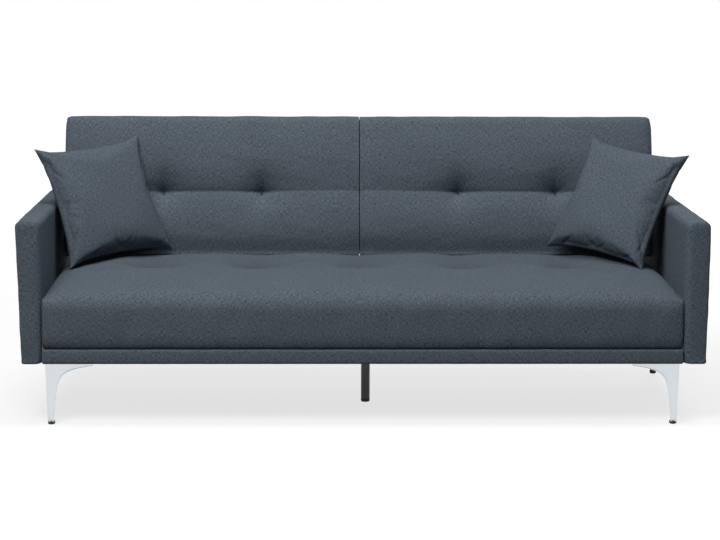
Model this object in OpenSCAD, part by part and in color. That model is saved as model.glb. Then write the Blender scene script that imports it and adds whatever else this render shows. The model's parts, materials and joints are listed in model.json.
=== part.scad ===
// Split-back sofa bed: fixed seat, slab arms, two reclining back halves, two throw pillows.
// Millimetres. Origin at the middle of the footprint on the floor, +X right, +Y to the rear, +Z up.

/* [Overall] */
// Width over the two arms
overall_w = 1990; // [1650:10:2400]
// Depth of the base and the arms
overall_d = 845; // [800:5:1020]
// Height of the sleeping surface
seat_h = 430; // [415:1:470]
// Height of the legs, floor to frame
leg_h = 183; // [140:1:190]
// Height of the arms
arm_h = 598; // [540:1:710]

/* [Seat] */
// Foam, felt and cover above the slats
seat_pad_t = 130; // [108:1:135]
// How far the seat sinks towards the arms
seat_side_fall = 60; // [10:1:70]
// Width of the sinking strip beside each arm
seat_side_strip = 220; // [100:5:300]
// Radius of the roll at the seat front
seat_roll_r = 58; // [30:1:65]
// How far the seat top sinks towards the front roll
seat_front_fall = 34; // [5:1:45]
// Height of the border band along the front
border_h = 42; // [30:1:60]
// Distance between neighbouring seat tufts
seat_tuft_pitch = 311; // [240:1:330]
// Distance of the seat tufts in front of the back pivot
seat_tuft_reach = 285; // [180:5:380]

/* [Back] */
// Length of a back half, bottom end to top
back_len = 430; // [340:1:520]
// Thickness of a back half
back_t = 125; // [110:1:150]
// Lean of the back when it is up, degrees from upright
recline = 13; // [8:1:20]
// Gap between the two halves
split_gap = 5; // [3:1:12]
// Height of the back tufts above the back's bottom end
back_tuft_up = 187; // [120:1:260]
// Radius of the top front edge
back_edge_r = 26; // [10:1:40]

/* [Arms] */
// Thickness of an arm
arm_t = 72; // [64:1:86]
// Radius of the arms' long edges
arm_edge_r = 20; // [8:1:28]

/* [Frame] */
// Thickness of the wooden rails
rail_t = 28; // [22:1:34]
// Gap between the rails and the back when it lies flat
rest_gap = 13; // [6:1:20]
// Thickness of the flat centre stretcher
stretcher_t = 30; // [20:1:36]
// Width of the flat centre stretcher
stretcher_w = 80; // [70:1:120]
// Number of slats
slat_count = 12; // [8:1:14]
// Width of a slat
slat_w = 53; // [38:1:63]
// Thickness of a slat
slat_t = 8; // [6:0.5:12]
// Thickness of the upholstery cloth with its lining
cloth_t = 2.5; // [1:0.1:4]

/* [Legs] */
// Width of a leg's wing at the top
leg_wing = 139; // [110:1:160]
// Width of a leg at the foot
leg_foot_w = 19; // [14:1:26]
// Thickness of a leg's metal
leg_wall = 4; // [3:0.5:6]
// Distance of the front legs' corner from the arm's inner face
front_leg_inset = 5.5; // [2:0.5:20]
// Distance of the rear legs' corner outside the arm's inner face
rear_leg_outset = 52; // [48:1:60]
// Radius of the centre leg
centre_leg_r = 13.5; // [11:0.5:18]
// Sideways place of the centre leg
centre_leg_x = 14; // [-14:1:14]

/* [Hinges] */
// Distance of the pivot in front of the rear end of the arms
pivot_from_rear = 227.5; // [210:0.5:290]
// Depth of the pivot below the sleeping surface
pivot_drop = 30; // [30:1:34]
// Radius of the hinge pins
pin_r = 5; // [4:0.5:6]
// Running clearance between pin and bore
pin_fit = 0.05; // [0.02:0.01:0.1]
// Radius of the ratchet wheel
ratchet_r = 13; // [11:0.5:14]
// Teeth of the ratchet wheel
ratchet_teeth = 14; // [8:1:18]
// Radius of the pawl shaft
pawl_shaft_r = 4; // [3:0.5:5]
// Distance of the inner hinge from the split
hinge_inner_x = 150; // [90:5:220]
// Distance of the outer hinge from the arm
hinge_outer_inset = 150; // [90:5:220]

/* [Pillows] */
// Corner-to-corner width of a throw pillow
pillow_w = 384; // [300:2:400]
// Thickness of a throw pillow
pillow_t = 116; // [80:2:130]
// How far a pillow's sides pull in
pillow_waist = 15; // [6:1:24]

/* [Hidden] */
$fn = 48;

cloth_colour = "#4e5963";
wood_colour = "#c9a878";
foam_colour = "#e8dfb8";
chrome_colour = "#c8d0d6";
zinc_colour = "#a9adb0";
black_colour = "#1c1d1f";
felt_colour = "#8a8a86";
board_colour = "#b08a5a";
tuft_colour = "#2b3238";
filling_colour = "#f1f0ec";

// Main planes
half_w = overall_w / 2;
half_d = overall_d / 2;
inner_x = half_w - arm_t;
dust_t = 1;
frame_z = leg_h + dust_t;
felt_t = 6;
slat_top = seat_h - seat_pad_t;
foam_z = slat_top + felt_t;
rail_top = seat_h - back_t - rest_gap;
border_t = 22.5;
front_rail_y = -half_d + border_t;
front_rail_y1 = front_rail_y + rail_t;
rear_rail_y1 = half_d - cloth_t;
rear_rail_y = rear_rail_y1 - rail_t;
side_rail_x = inner_x - rail_t;

// Back pivot and the seat's rear end
pivot_y = half_d - pivot_from_rear;
pivot_z = seat_h - pivot_drop;
seat_rear_gap = 30;
seat_rear_y = pivot_y - seat_rear_gap;
hinge_rail_y = seat_rear_y - rail_t;
hinge_rail_cover_t = 85;
hinge_rail_top = seat_h - hinge_rail_cover_t;
hinge_rail_z = frame_z + stretcher_t;

// Seat body
seat_half = inner_x - 1;
border_seam = 2;
border_top = leg_h + border_h;
seat_lip_z = border_top + border_seam;
seat_rear_r = 14;
seat_roll_sweep = 76;
seat_fall_power = 2.2;
curve_steps = 10;
tuft_hole_r = 2.5;
tuft_tie_r = 2;
tuft_washer_r = 10;
tuft_washer_t = 3;
tuft_washer_fit = 1;
seat_tuft_y = pivot_y - seat_tuft_reach;
seat_tufts = [for (i = [-2:2]) i * seat_tuft_pitch];

// Slats, spread between the side rails; one that meets a tuft tie has a hole for its washer
slat_span = 2 * side_rail_x;
slat_pitch = slat_span / slat_count;
slat_x = [for (i = [0:slat_count - 1]) -side_rail_x + slat_pitch * (i + 0.5)];
holder_d = 12;
holder_rim = 6;
slat_end = 4;
slat_fit = 0.2;

// Back halves, drawn upright about the pivot: x across, y to the rear, z along the back
back_side_gap = 3;
back_clear = 26;
back_front = -pivot_drop;
back_rear = back_front + back_t;
back_top = back_clear + back_len;
back_x0 = split_gap / 2;
back_x1 = inner_x - back_side_gap;
back_rear_r = 18;
board_t = 3;
back_frame_t = 48;
board_y = back_rear - cloth_t - back_frame_t - board_t;
stile_w = 40;
glue_gap = 0.2;
back_tuft_z = back_clear + back_tuft_up;
back_tie_inset = 25;
back_tufts = [for (i = [1:2]) back_x0 + (back_x1 - back_x0) * i / 3];

// Hinges
hinge_x = [hinge_inner_x, inner_x - hinge_outer_inset];
lug_r = 18;
lug_t = 4;
lug_gap = 22;
plate_t = 4;
plate_w = 60;
plate_z = [-145, -65];
plate_rear = -seat_rear_gap + plate_t;
plate_screw_x = plate_w / 2 - 8;
plate_screw_z = [plate_z[0] + 12, plate_z[1] - 12];
arm_hub_r = 16;
arm_plate_t = 6;
leaf_w = 40;
leaf_t = 4;
leaf_y = [back_rear - 50, back_rear - 7];
leaf_screw_inset = 8;
wheel_w = 6;
tooth_h = 2.2;
wheel_root = ratchet_r - tooth_h;
pawl_pos = [-20, -24];
pawl_ring_r = 6.5;
pawl_tip_r = 2;
pawl_gap = 1;
pawl_w = 5;
pawl_x = arm_plate_t / 2 + 1;
pawl_shaft_over = 8;
pawl_boss_r = pawl_shaft_r + 4;
pawl_tip_reach = ratchet_r + pawl_gap + pawl_tip_r;
pawl_axis_angle = atan2(pawl_pos.y, pawl_pos.x) + acos(pawl_tip_reach / norm(pawl_pos));
pawl_tip = pawl_tip_reach * [cos(pawl_axis_angle), sin(pawl_axis_angle)];
shelf_y = [-14, -3];
shelf_z = -38;
shelf_t = 3;
shelf_inset = 0.5;
spring_y = -8.5;
spring_r = 2.2;
spring_wire = 0.4;
spring_turns = 5;
spring_steps = 12;
spring_gap = 1.8;
pin_head_r = 8.5;
pin_head_t = 6;
pin_nut_t = 8;
pin_tail = 2;

// Fasteners
screw_r = 2.5;
screw_fit = 0.1;
screw_head_r = 5;
screw_head_t = 3;
screw_len = 20;
bolt_r = 4;
bolt_fit = 0.5;
bolt_head_r = 8;
bolt_head_t = 5;

// Arms
arm_board_t = 20;
arm_board_inset = (arm_t - arm_board_t) / 2;
arm_board_margin = 24;
arm_board_lift = 4;
arm_low_r = 8;
arm_block_h = 60;
arm_block_l = 60;
arm_block_y = 290;
arm_block_z = (frame_z + rail_top) / 2;
arm_bolt_end = arm_board_inset + 14;

// Legs
leg_plate_t = 3;
leg_tip_h = 9;
leg_knee_r = 38;
leg_knee = [34, leg_h - 37];
leg_foot_in = 5;
leg_rail_inset = 8;
glide_wall = 4;
glide_fit = 0.1;
glide_h = 8;
glide_plug_h = 8;
leg_screw_pos = [[115, 12], [70, 12], [13, 70], [13, 115]];
front_leg_x = inner_x - front_leg_inset;
rear_leg_x = inner_x + rear_leg_outset;
front_leg_y = front_rail_y + leg_rail_inset;
rear_leg_y = rear_rail_y1 - leg_rail_inset;
centre_leg_y = -half_d + 372;
centre_plate_w = 60;
centre_plate_t = 3;
centre_tube_wall = 1.5;
centre_foot_h = 10;
centre_screw_at = 20;

// Rest buffers on the rear rail, just under the flat back
buffer_r = 12;
buffer_gap = 0.4;
buffer_top = pivot_z - back_rear - buffer_gap;
buffer_x = [back_x1 / 4, back_x1 * 3 / 4];

// Throw pillows: middle of each, then turn, lean and roll in degrees
pillow_grid = 12;
pillow_edge_t = 5;
pillow_skin = 2;
pillow_power = 2.6;
pillow_face_power = 0.6;
zip_half = 0.6;
zip_depth = 8;
left_pillow_pos = [-half_w + 212, pivot_y - 118, seat_h + 170];
left_pillow_turn = [38.7, 23, -4];
right_pillow_pos = [half_w - 209, pivot_y - 133, seat_h + 170];
right_pillow_turn = [-44.5, 27, 6];

// ---------- helpers ----------

// Block between two opposite corners
module block(lo, hi) {
    translate(lo) cube(hi - lo);
}

// Prism of an outline in (y, z), carried along x from x0 to x1
module along_x(x0, x1) {
    translate([x0, 0, 0]) rotate([90, 0, 90]) linear_extrude(x1 - x0) children();
}

// Prism of an outline in (x, z), carried along y from y0 to y1
module along_y(y0, y1) {
    translate([0, y1, 0]) rotate([90, 0, 0]) linear_extrude(y1 - y0) children();
}

// Round rod along x
module rod_x(x0, x1, r) {
    translate([x0, 0, 0]) rotate([0, 90, 0]) cylinder(r = r, h = x1 - x0);
}

// Unit vector
function unit(v) = v / norm(v);

// Points of the arc of radius r that rounds corner b between a and c
function arc_corner(a, b, c, r, steps) =
    let (
        u = unit(a - b),
        v = unit(c - b),
        half = acos(u * v) / 2,
        centre = b + unit(u + v) * r / sin(half),
        s = b + u * r / tan(half) - centre,
        e = b + v * r / tan(half) - centre,
        a0 = atan2(s.y, s.x),
        turn = atan2(s.x * e.y - s.y * e.x, s * e)
    )
    [for (i = [0:steps]) centre + r * [cos(a0 + turn * i / steps), sin(a0 + turn * i / steps)]];

// Outline with each corner [x, y, r] rounded by its own radius
function rounded(corners, steps = 6) =
    let (n = len(corners), flat = [for (c = corners) [c.x, c.y]])
    [for (i = [0:n - 1]) each
        corners[i][2] > 0
            ? arc_corner(flat[(i + n - 1) % n], flat[i], flat[(i + 1) % n], corners[i][2], steps)
            : [flat[i]]];

// Runs its children at both hinges of one half; side is -1 for left, 1 for right
module at_hinges(side) {
    for (x = hinge_x) translate([side * x, pivot_y, pivot_z]) children();
}

// Places what is drawn upright about the pivot at the lean of the raised back
module on_back() {
    translate([0, pivot_y, pivot_z]) rotate([-recline, 0, 0]) children();
}

// Left copy of what is drawn on the right side
module to_side(side) {
    if (side < 0) mirror([1, 0, 0]) children();
    else children();
}

// ---------- base frame ----------

module rail(lo, hi) {
    color(wood_colour) difference() {
        block(lo, hi);
        leg_screw_holes();
        rail_bolt_holes();
        hinge_plate_screws(screw_r + screw_fit, screw_len);
    }
}

module front_rail() {
    rail([-inner_x, front_rail_y, frame_z], [inner_x, front_rail_y1, slat_top]);
}

module rear_rail() {
    rail([-inner_x, rear_rail_y, frame_z], [inner_x, rear_rail_y1, rail_top]);
}

module side_rail(side) {
    to_side(side)
        rail([side_rail_x, front_rail_y1, frame_z], [inner_x, rear_rail_y, rail_top]);
}

module hinge_rail() {
    rail([-side_rail_x, hinge_rail_y, hinge_rail_z], [side_rail_x, seat_rear_y, hinge_rail_top]);
}

module centre_stretcher() {
    rail([-stretcher_w / 2, front_rail_y1, frame_z],
         [stretcher_w / 2, rear_rail_y, frame_z + stretcher_t]);
}

module seat_slats() {
    color(wood_colour) difference() {
        for (x = slat_x)
            block([x - slat_w / 2, front_rail_y1 + slat_end, slat_top - slat_t],
                  [x + slat_w / 2, hinge_rail_y - slat_end, slat_top]);
        for (x = seat_tufts) translate([x, seat_tuft_y, slat_top - slat_t - 1])
            cylinder(r = tuft_washer_r + tuft_washer_fit, h = slat_t + 2);
    }
}

module slat_holders() {
    pocket = slat_w / 2 + slat_fit;
    ends = [[front_rail_y1, front_rail_y1 + holder_d], [hinge_rail_y - holder_d, hinge_rail_y]];
    color(black_colour) for (x = slat_x, y = ends) difference() {
        block([x - pocket - holder_rim, y[0], slat_top - slat_t - holder_rim],
              [x + pocket + holder_rim, y[1], slat_top]);
        block([x - pocket, front_rail_y1 + slat_end - slat_fit, slat_top - slat_t],
              [x + pocket, hinge_rail_y - slat_end + slat_fit, slat_top + 1]);
    }
}

module deck_pad() {
    color(felt_colour) difference() {
        block([-seat_half, front_rail_y, slat_top], [seat_half, hinge_rail_y, foam_z]);
        tuft_holes(slat_top - 1, foam_z + 1);
    }
}

module rear_rail_cover() {
    color(cloth_colour)
        block([-inner_x, rear_rail_y1, leg_h], [inner_x, half_d, rail_top]);
}

module front_border() {
    edge_r = 5;
    color(cloth_colour) along_x(-seat_half, seat_half)
        polygon(rounded([
            [-half_d, leg_h, edge_r], [-half_d, border_top, edge_r],
            [front_rail_y, border_top, 0], [front_rail_y, leg_h, 0]
        ]));
}

module dust_cover() {
    color(black_colour) difference() {
        block([-inner_x, front_rail_y, leg_h], [inner_x, rear_rail_y1, frame_z]);
        leg_screw_holes();
    }
}

module rest_buffers() {
    color(black_colour) for (side = [-1, 1], x = buffer_x)
        translate([side * x, (rear_rail_y + rear_rail_y1) / 2, rail_top])
            cylinder(r = buffer_r, h = buffer_top - rail_top);
}

// ---------- seat ----------

// Top of the seat in (y, z) from the front lip to the rear edge, drawn inwards by t
function seat_top_line(t) =
    let (
        front = -half_d + t,
        rear = seat_rear_y - t,
        top = seat_h - t,
        roll_z = top - seat_front_fall - seat_roll_r,
        roll_y = front + seat_roll_r,
        crown_y = roll_y + (rear - roll_y) / 2
    )
    concat(
        [for (i = [0:curve_steps])
            let (a = 180 - seat_roll_sweep * i / curve_steps)
            [roll_y + seat_roll_r * cos(a), roll_z + seat_roll_r * sin(a)]],
        [for (i = [1:curve_steps])
            let (s = i / curve_steps)
            [roll_y + (crown_y - roll_y) * s, top - seat_front_fall * pow(1 - s, 2)]],
        [[rear - seat_rear_r, top]],
        [for (i = [1:curve_steps])
            let (a = 90 - 90 * i / curve_steps)
            [rear + seat_rear_r * (cos(a) - 1), top + seat_rear_r * (sin(a) - 1)]]
    );

// Seat outline in (y, z), drawn inwards by t; the underside follows the rails and the felt
function seat_side(t) = concat(
    [[seat_rear_y - t, hinge_rail_top], [hinge_rail_y, hinge_rail_top], [hinge_rail_y, foam_z],
     [front_rail_y, foam_z], [front_rail_y, seat_lip_z], [-half_d + t, seat_lip_z]],
    seat_top_line(t)
);

// Seat outline in (x, z), drawn inwards by t
function seat_front(t) =
    let (
        flat = seat_half - seat_side_strip,
        strip = seat_side_strip - t,
        right = [for (i = [0:curve_steps])
            let (s = i / curve_steps)
            [flat + strip * s, seat_h - t - seat_side_fall * pow(s, seat_fall_power)]]
    )
    concat(
        [[seat_half - t, leg_h]],
        [for (i = [curve_steps:-1:0]) right[i]],
        [for (p = right) [-p.x, p.y]],
        [[-seat_half + t, leg_h]]
    );

// Where the side outline and the front outline of the seat, drawn inwards by t, meet
module seat_body(t, side_outline) {
    intersection() {
        along_x(-inner_x, inner_x) polygon(side_outline);
        along_y(-half_d, seat_rear_y) polygon(seat_front(t));
    }
}

module tuft_holes(z0, z1) {
    for (x = seat_tufts)
        translate([x, seat_tuft_y, z0]) cylinder(r = tuft_hole_r, h = z1 - z0);
}

module seat_foam() {
    color(foam_colour) difference() {
        seat_body(cloth_t, seat_side(cloth_t));
        tuft_holes(slat_top, seat_h);
    }
}

module seat_cover() {
    wrapped = concat([[seat_rear_y - cloth_t, leg_h], [-half_d + cloth_t, leg_h]],
                     seat_top_line(cloth_t));
    color(cloth_colour) difference() {
        seat_body(0, seat_side(0));
        seat_body(cloth_t, wrapped);
    }
}

module seat_tuft_ties() {
    tie_top = foam_z + (seat_h - foam_z) * 3 / 4;
    color(tuft_colour) for (x = seat_tufts) translate([x, seat_tuft_y, slat_top - tuft_washer_t]) {
        cylinder(r = tuft_washer_r, h = tuft_washer_t);
        cylinder(r = tuft_tie_r, h = tie_top - slat_top + tuft_washer_t);
    }
}

// ---------- arms ----------

module arm_solid(t) {
    edge = arm_edge_r - t;
    low_edge = arm_low_r - t;
    along_y(-half_d + t, half_d - t)
        polygon(rounded([
            [inner_x + t, leg_h + t, low_edge], [half_w - t, leg_h + t, low_edge],
            [half_w - t, arm_h - t, edge], [inner_x + t, arm_h - t, edge]
        ]));
}

module arm_wood() {
    block([inner_x + arm_board_inset, -half_d + arm_board_margin, frame_z + arm_board_lift],
          [half_w - arm_board_inset, half_d - arm_board_margin, arm_h - arm_board_margin]);
    for (y = [-arm_block_y, arm_block_y])
        block([inner_x, y - arm_block_l / 2, arm_block_z - arm_block_h / 2],
              [inner_x + arm_board_inset, y + arm_block_l / 2, arm_block_z + arm_block_h / 2]);
}

module arm_bolt_bores() {
    for (y = [-arm_block_y, arm_block_y]) translate([0, y, arm_block_z])
        rod_x(inner_x - 1, inner_x + arm_bolt_end, bolt_r + bolt_fit);
}

module arm_frame(side) {
    color(wood_colour) difference() {
        to_side(side) difference() {
            arm_wood();
            arm_bolt_bores();
        }
        leg_screw_holes();
    }
}

module arm_padding(side) {
    color(foam_colour) difference() {
        to_side(side) difference() {
            arm_solid(cloth_t);
            arm_wood();
        }
        leg_screw_holes();
    }
}

module arm_cover(side) {
    color(cloth_colour) difference() {
        to_side(side) difference() {
            arm_solid(0);
            arm_solid(cloth_t);
            arm_wood();
        }
        leg_screw_holes();
    }
}

module rail_bolt_holes() {
    for (side = [-1, 1], y = [-arm_block_y, arm_block_y]) to_side(side)
        translate([0, y, arm_block_z])
            rod_x(side_rail_x - 1, inner_x + 1, bolt_r + bolt_fit);
}

module arm_bolts() {
    color(zinc_colour) for (side = [-1, 1], y = [-arm_block_y, arm_block_y]) to_side(side)
        translate([0, y, arm_block_z]) {
            rod_x(side_rail_x - bolt_head_t, side_rail_x, bolt_head_r);
            rod_x(side_rail_x, inner_x + arm_bolt_end - 2, bolt_r);
        }
}

// ---------- legs ----------

// Places one leg, drawn with its corner at the origin, at each of the four corners
module at_leg(side, end) {
    x = end < 0 ? front_leg_x : rear_leg_x;
    y = end < 0 ? front_leg_y : rear_leg_y;
    translate([side * x, y, 0])
        mirror([side > 0 ? 1 : 0, 0, 0]) mirror([0, end > 0 ? 1 : 0, 0]) children();
}

module leg_wing_outline() {
    plate_z0 = leg_h - leg_plate_t;
    polygon(rounded([
        [0, plate_z0, 0], [leg_wing, plate_z0, 0], [leg_wing, leg_h - leg_tip_h, 1.5],
        [leg_knee.x, leg_knee.y, leg_knee_r],
        [leg_foot_in + leg_foot_w, glide_h, 0], [leg_foot_in, glide_h, 0]
    ], 10));
}

module bracket_leg(side, end) {
    color(chrome_colour) at_leg(side, end) {
        along_y(0, leg_wall) leg_wing_outline();
        mirror([1, -1, 0]) along_y(0, leg_wall) leg_wing_outline();
        translate([0, 0, leg_h - leg_plate_t]) difference() {
            linear_extrude(leg_plate_t) polygon([
                [0, 0], [leg_wing, 0], [leg_wing, 2 * leg_foot_w],
                [2 * leg_foot_w, leg_wing], [0, leg_wing]
            ]);
            for (p = leg_screw_pos)
                translate([p.x, p.y, -1]) cylinder(r = screw_r + screw_fit, h = leg_plate_t + 2);
        }
    }
}

module leg_glides() {
    outer = leg_foot_w + leg_foot_in;
    inner = leg_wall + glide_fit;
    color(black_colour) for (side = [-1, 1], end = [-1, 1]) at_leg(side, end) {
        block([leg_foot_in / 2, leg_foot_in / 2, 0], [outer, outer, glide_h]);
        block([inner, inner, glide_h],
              [outer - glide_wall, outer - glide_wall, glide_h + glide_plug_h]);
    }
}

// Cylinders of the leg screws' shanks, cut from what they pass through
module leg_screw_holes() {
    hole_h = screw_len + screw_fit;
    for (side = [-1, 1], end = [-1, 1]) at_leg(side, end)
        for (p = leg_screw_pos) translate([p.x, p.y, leg_h - 1])
            cylinder(r = screw_r + screw_fit, h = hole_h + 1);
    for (dx = [-centre_screw_at, centre_screw_at], dy = [-centre_screw_at, centre_screw_at])
        translate([centre_leg_x + dx, centre_leg_y + dy, leg_h - 1])
            cylinder(r = screw_r + screw_fit, h = hole_h + 1);
}

// One wood screw, head down, driven up from the underside of a plate
module up_screw(plate) {
    translate([0, 0, leg_h - plate - screw_head_t]) {
        cylinder(r = screw_head_r, h = screw_head_t);
        cylinder(r = screw_r, h = screw_head_t + plate + screw_len);
    }
}

module leg_screws() {
    color(zinc_colour) {
        for (side = [-1, 1], end = [-1, 1]) at_leg(side, end)
            for (p = leg_screw_pos) translate([p.x, p.y, 0]) up_screw(leg_plate_t);
        for (dx = [-centre_screw_at, centre_screw_at], dy = [-centre_screw_at, centre_screw_at])
            translate([centre_leg_x + dx, centre_leg_y + dy, 0]) up_screw(centre_plate_t);
    }
}

module centre_leg() {
    color(black_colour) translate([centre_leg_x, centre_leg_y, centre_foot_h]) difference() {
        cylinder(r = centre_leg_r, h = leg_h - centre_plate_t - centre_foot_h);
        translate([0, 0, -1])
            cylinder(r = centre_leg_r - centre_tube_wall, h = leg_h);
    }
}

module centre_leg_plate() {
    half = centre_plate_w / 2;
    color(black_colour) translate([centre_leg_x, centre_leg_y, leg_h - centre_plate_t]) difference() {
        block([-half, -half, 0], [half, half, centre_plate_t]);
        for (dx = [-centre_screw_at, centre_screw_at], dy = [-centre_screw_at, centre_screw_at])
            translate([dx, dy, -1]) cylinder(r = screw_r + screw_fit, h = centre_plate_t + 2);
    }
}

module centre_leg_foot() {
    plug_r = centre_leg_r - centre_tube_wall;
    plug_h = 12;
    sole_r = 4;
    color(black_colour) translate([centre_leg_x, centre_leg_y, 0]) rotate_extrude() union() {
        square([centre_leg_r - sole_r, centre_foot_h]);
        translate([0, sole_r]) square([centre_leg_r, centre_foot_h - sole_r]);
        translate([centre_leg_r - sole_r, sole_r]) intersection() {
            circle(sole_r);
            translate([0, -sole_r]) square([sole_r, 2 * sole_r]);
        }
        square([plug_r, centre_foot_h + plug_h]);
    }
}

// ---------- hinges ----------

// Screw pattern of the seat brackets on the hinge rail, drawn with radius r and length l
module hinge_plate_screws(r, l) {
    for (side = [-1, 1]) at_hinges(side)
        for (dx = [-plate_screw_x, plate_screw_x], dz = plate_screw_z)
            translate([dx, plate_rear + 1, dz]) rotate([90, 0, 0])
                cylinder(r = r, h = l + plate_t + 1);
}

module lug_outline() {
    difference() {
        union() {
            circle(lug_r);
            translate(pawl_pos) circle(pawl_boss_r);
            polygon([
                [plate_rear - plate_t, plate_z[0]], [plate_rear - plate_t, plate_z[1]],
                [pawl_pos.x - pawl_boss_r, pawl_pos.y], [-lug_r, 0], [lug_r, 0],
                [plate_rear + lug_t, plate_z[0]]
            ]);
        }
        circle(pin_r + pin_fit);
        translate(pawl_pos) circle(pawl_shaft_r + pin_fit);
    }
}

module seat_brackets(side) {
    color(zinc_colour) difference() {
        at_hinges(side) {
            block([-plate_w / 2, -seat_rear_gap, plate_z[0]], [plate_w / 2, plate_rear, plate_z[1]]);
            for (x = [-lug_gap / 2 - lug_t, lug_gap / 2]) along_x(x, x + lug_t) lug_outline();
            block([pawl_x - shelf_inset, shelf_y[0], shelf_z - shelf_t],
                  [lug_gap / 2, shelf_y[1], shelf_z]);
        }
        hinge_plate_screws(screw_r + screw_fit, screw_len);
    }
}

module hinge_pins() {
    outer = lug_gap / 2 + lug_t;
    color(zinc_colour) for (side = [-1, 1]) at_hinges(side) {
        rod_x(-outer - pin_head_t, -outer, pin_head_r);
        rod_x(-outer, outer + pin_nut_t + pin_tail, pin_r);
    }
}

module hinge_nuts() {
    outer = lug_gap / 2 + lug_t;
    color(zinc_colour) for (side = [-1, 1]) at_hinges(side) difference() {
        translate([outer, 0, 0]) rotate([0, 90, 0]) cylinder(r = pin_head_r, h = pin_nut_t, $fn = 6);
        rod_x(outer - 1, outer + pin_nut_t + 1, pin_r + screw_fit);
    }
}

module bracket_screws() {
    color(zinc_colour) for (side = [-1, 1]) at_hinges(side)
        for (dx = [-plate_screw_x, plate_screw_x], dz = plate_screw_z)
            translate([dx, plate_rear, dz]) rotate([90, 0, 0]) {
                cylinder(r = screw_r, h = screw_len);
                translate([0, 0, -screw_head_t]) cylinder(r = screw_head_r, h = screw_head_t);
            }
}

// One pawl and its place on the shaft, in (y, z) about the pivot
module pawl_outline() {
    across = unit([-(pawl_tip - pawl_pos).y, (pawl_tip - pawl_pos).x]);
    union() {
        translate(pawl_pos) circle(pawl_ring_r);
        translate(pawl_tip) circle(pawl_tip_r);
        polygon([
            pawl_pos + pawl_ring_r * across, pawl_tip + pawl_tip_r * across,
            pawl_tip - pawl_tip_r * across, pawl_pos - pawl_ring_r * across
        ]);
    }
}

module pawls(side) {
    reach = lug_gap / 2 + lug_t + pawl_shaft_over;
    color(zinc_colour) {
        at_hinges(side) along_x(pawl_x, pawl_x + pawl_w) pawl_outline();
        translate([0, pivot_y + pawl_pos.x, pivot_z + pawl_pos.y]) to_side(side)
            rod_x(hinge_x[0] - reach, hinge_x[1] + reach, pawl_shaft_r);
    }
}

// One coil spring standing on the shelf under the pawl, as a six-sided wire swept along a helix
module coil(r, wire, turns, h) {
    sides = 6;
    rings = turns * spring_steps;
    points = [for (i = [0:rings], k = [0:sides - 1])
        let (a = 360 * i / spring_steps, b = 360 * k / sides, d = r + wire * cos(b))
        [d * cos(a), d * sin(a), wire + (h - 2 * wire) * i / rings + wire * sin(b)]];
    walls = [for (i = [0:rings - 1], k = [0:sides - 1])
        let (n = (k + 1) % sides)
        [i * sides + k, i * sides + n, (i + 1) * sides + n, (i + 1) * sides + k]];
    start = [for (k = [sides - 1:-1:0]) k];
    end = [for (k = [0:sides - 1]) rings * sides + k];
    polyhedron(points, concat([start], walls, [end]), convexity = 10);
}

module pawl_springs(side) {
    along = (spring_y - pawl_pos.x) / (pawl_tip.x - pawl_pos.x);
    pawl_half = pawl_ring_r + (pawl_tip_r - pawl_ring_r) * along;
    slope = norm(pawl_tip - pawl_pos) / (pawl_tip.x - pawl_pos.x);
    under = pawl_pos.y + (pawl_tip.y - pawl_pos.y) * along - pawl_half * slope;
    color(zinc_colour) at_hinges(side)
        translate([pawl_x + pawl_w / 2, spring_y, shelf_z])
            coil(spring_r, spring_wire, spring_turns, under - shelf_z - spring_gap);
}

// ---------- back halves ----------

// Outline of a back half in (y, z), drawn inwards by t, with its bottom end at z0
function back_side(t, z0) = rounded([
    [back_front + t, z0, 0], [back_front + t, back_top - t, back_edge_r - t],
    [back_rear - t, back_top - t, back_rear_r - t], [back_rear - t, z0, 0]
], 8);

module back_half(side) {
    on_back() to_side(side) children();
}

module back_frame(side) {
    x0 = back_x0 + cloth_t;
    x1 = back_x1 - cloth_t;
    y0 = board_y + board_t;
    y1 = back_rear - cloth_t;
    top = back_top - cloth_t;
    stile_top = top - stile_w - glue_gap;
    color(wood_colour) back_half(side) difference() {
        intersection() {
            union() {
                block([x0, y0, back_clear], [x1, y1, back_clear + stile_w]);
                block([x0, y0, top - stile_w], [x1, y1, top]);
                for (x = [x0, (x0 + x1 - stile_w) / 2, x1 - stile_w])
                    block([x, y0, back_clear + stile_w + glue_gap], [x + stile_w, y1, stile_top]);
            }
            along_x(x0, x1) polygon(back_side(cloth_t, back_clear));
        }
        leaf_screw_holes(screw_r + screw_fit);
    }
}

module back_board(side) {
    color(board_colour) back_half(side) difference() {
        block([back_x0 + cloth_t, board_y, back_clear],
              [back_x1 - cloth_t, board_y + board_t, back_top - cloth_t - back_rear_r]);
        back_tuft_holes();
    }
}

module back_tuft_holes() {
    for (x = back_tufts) translate([x, back_front - 1, back_tuft_z]) rotate([-90, 0, 0])
        cylinder(r = tuft_hole_r, h = back_t);
}

module back_foam(side) {
    color(foam_colour) back_half(side) difference() {
        intersection() {
            along_x(back_x0 + cloth_t, back_x1 - cloth_t) polygon(back_side(cloth_t, back_clear));
            block([back_x0, back_front, back_clear], [back_x1, board_y, back_top]);
        }
        back_tuft_holes();
    }
}

module back_cover(side) {
    color(cloth_colour) back_half(side) difference() {
        along_x(back_x0, back_x1) polygon(back_side(0, back_clear));
        along_x(back_x0 + cloth_t, back_x1 - cloth_t)
            polygon(back_side(cloth_t, back_clear - cloth_t));
    }
}

module back_tuft_ties(side) {
    tie_front = back_front + back_tie_inset;
    color(tuft_colour) back_half(side) for (x = back_tufts)
        translate([x, tie_front, back_tuft_z]) rotate([-90, 0, 0]) {
            cylinder(r = tuft_tie_r, h = board_y + board_t - tie_front);
            translate([0, 0, board_y + board_t - tie_front])
                cylinder(r = tuft_washer_r, h = tuft_washer_t);
        }
}

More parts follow.
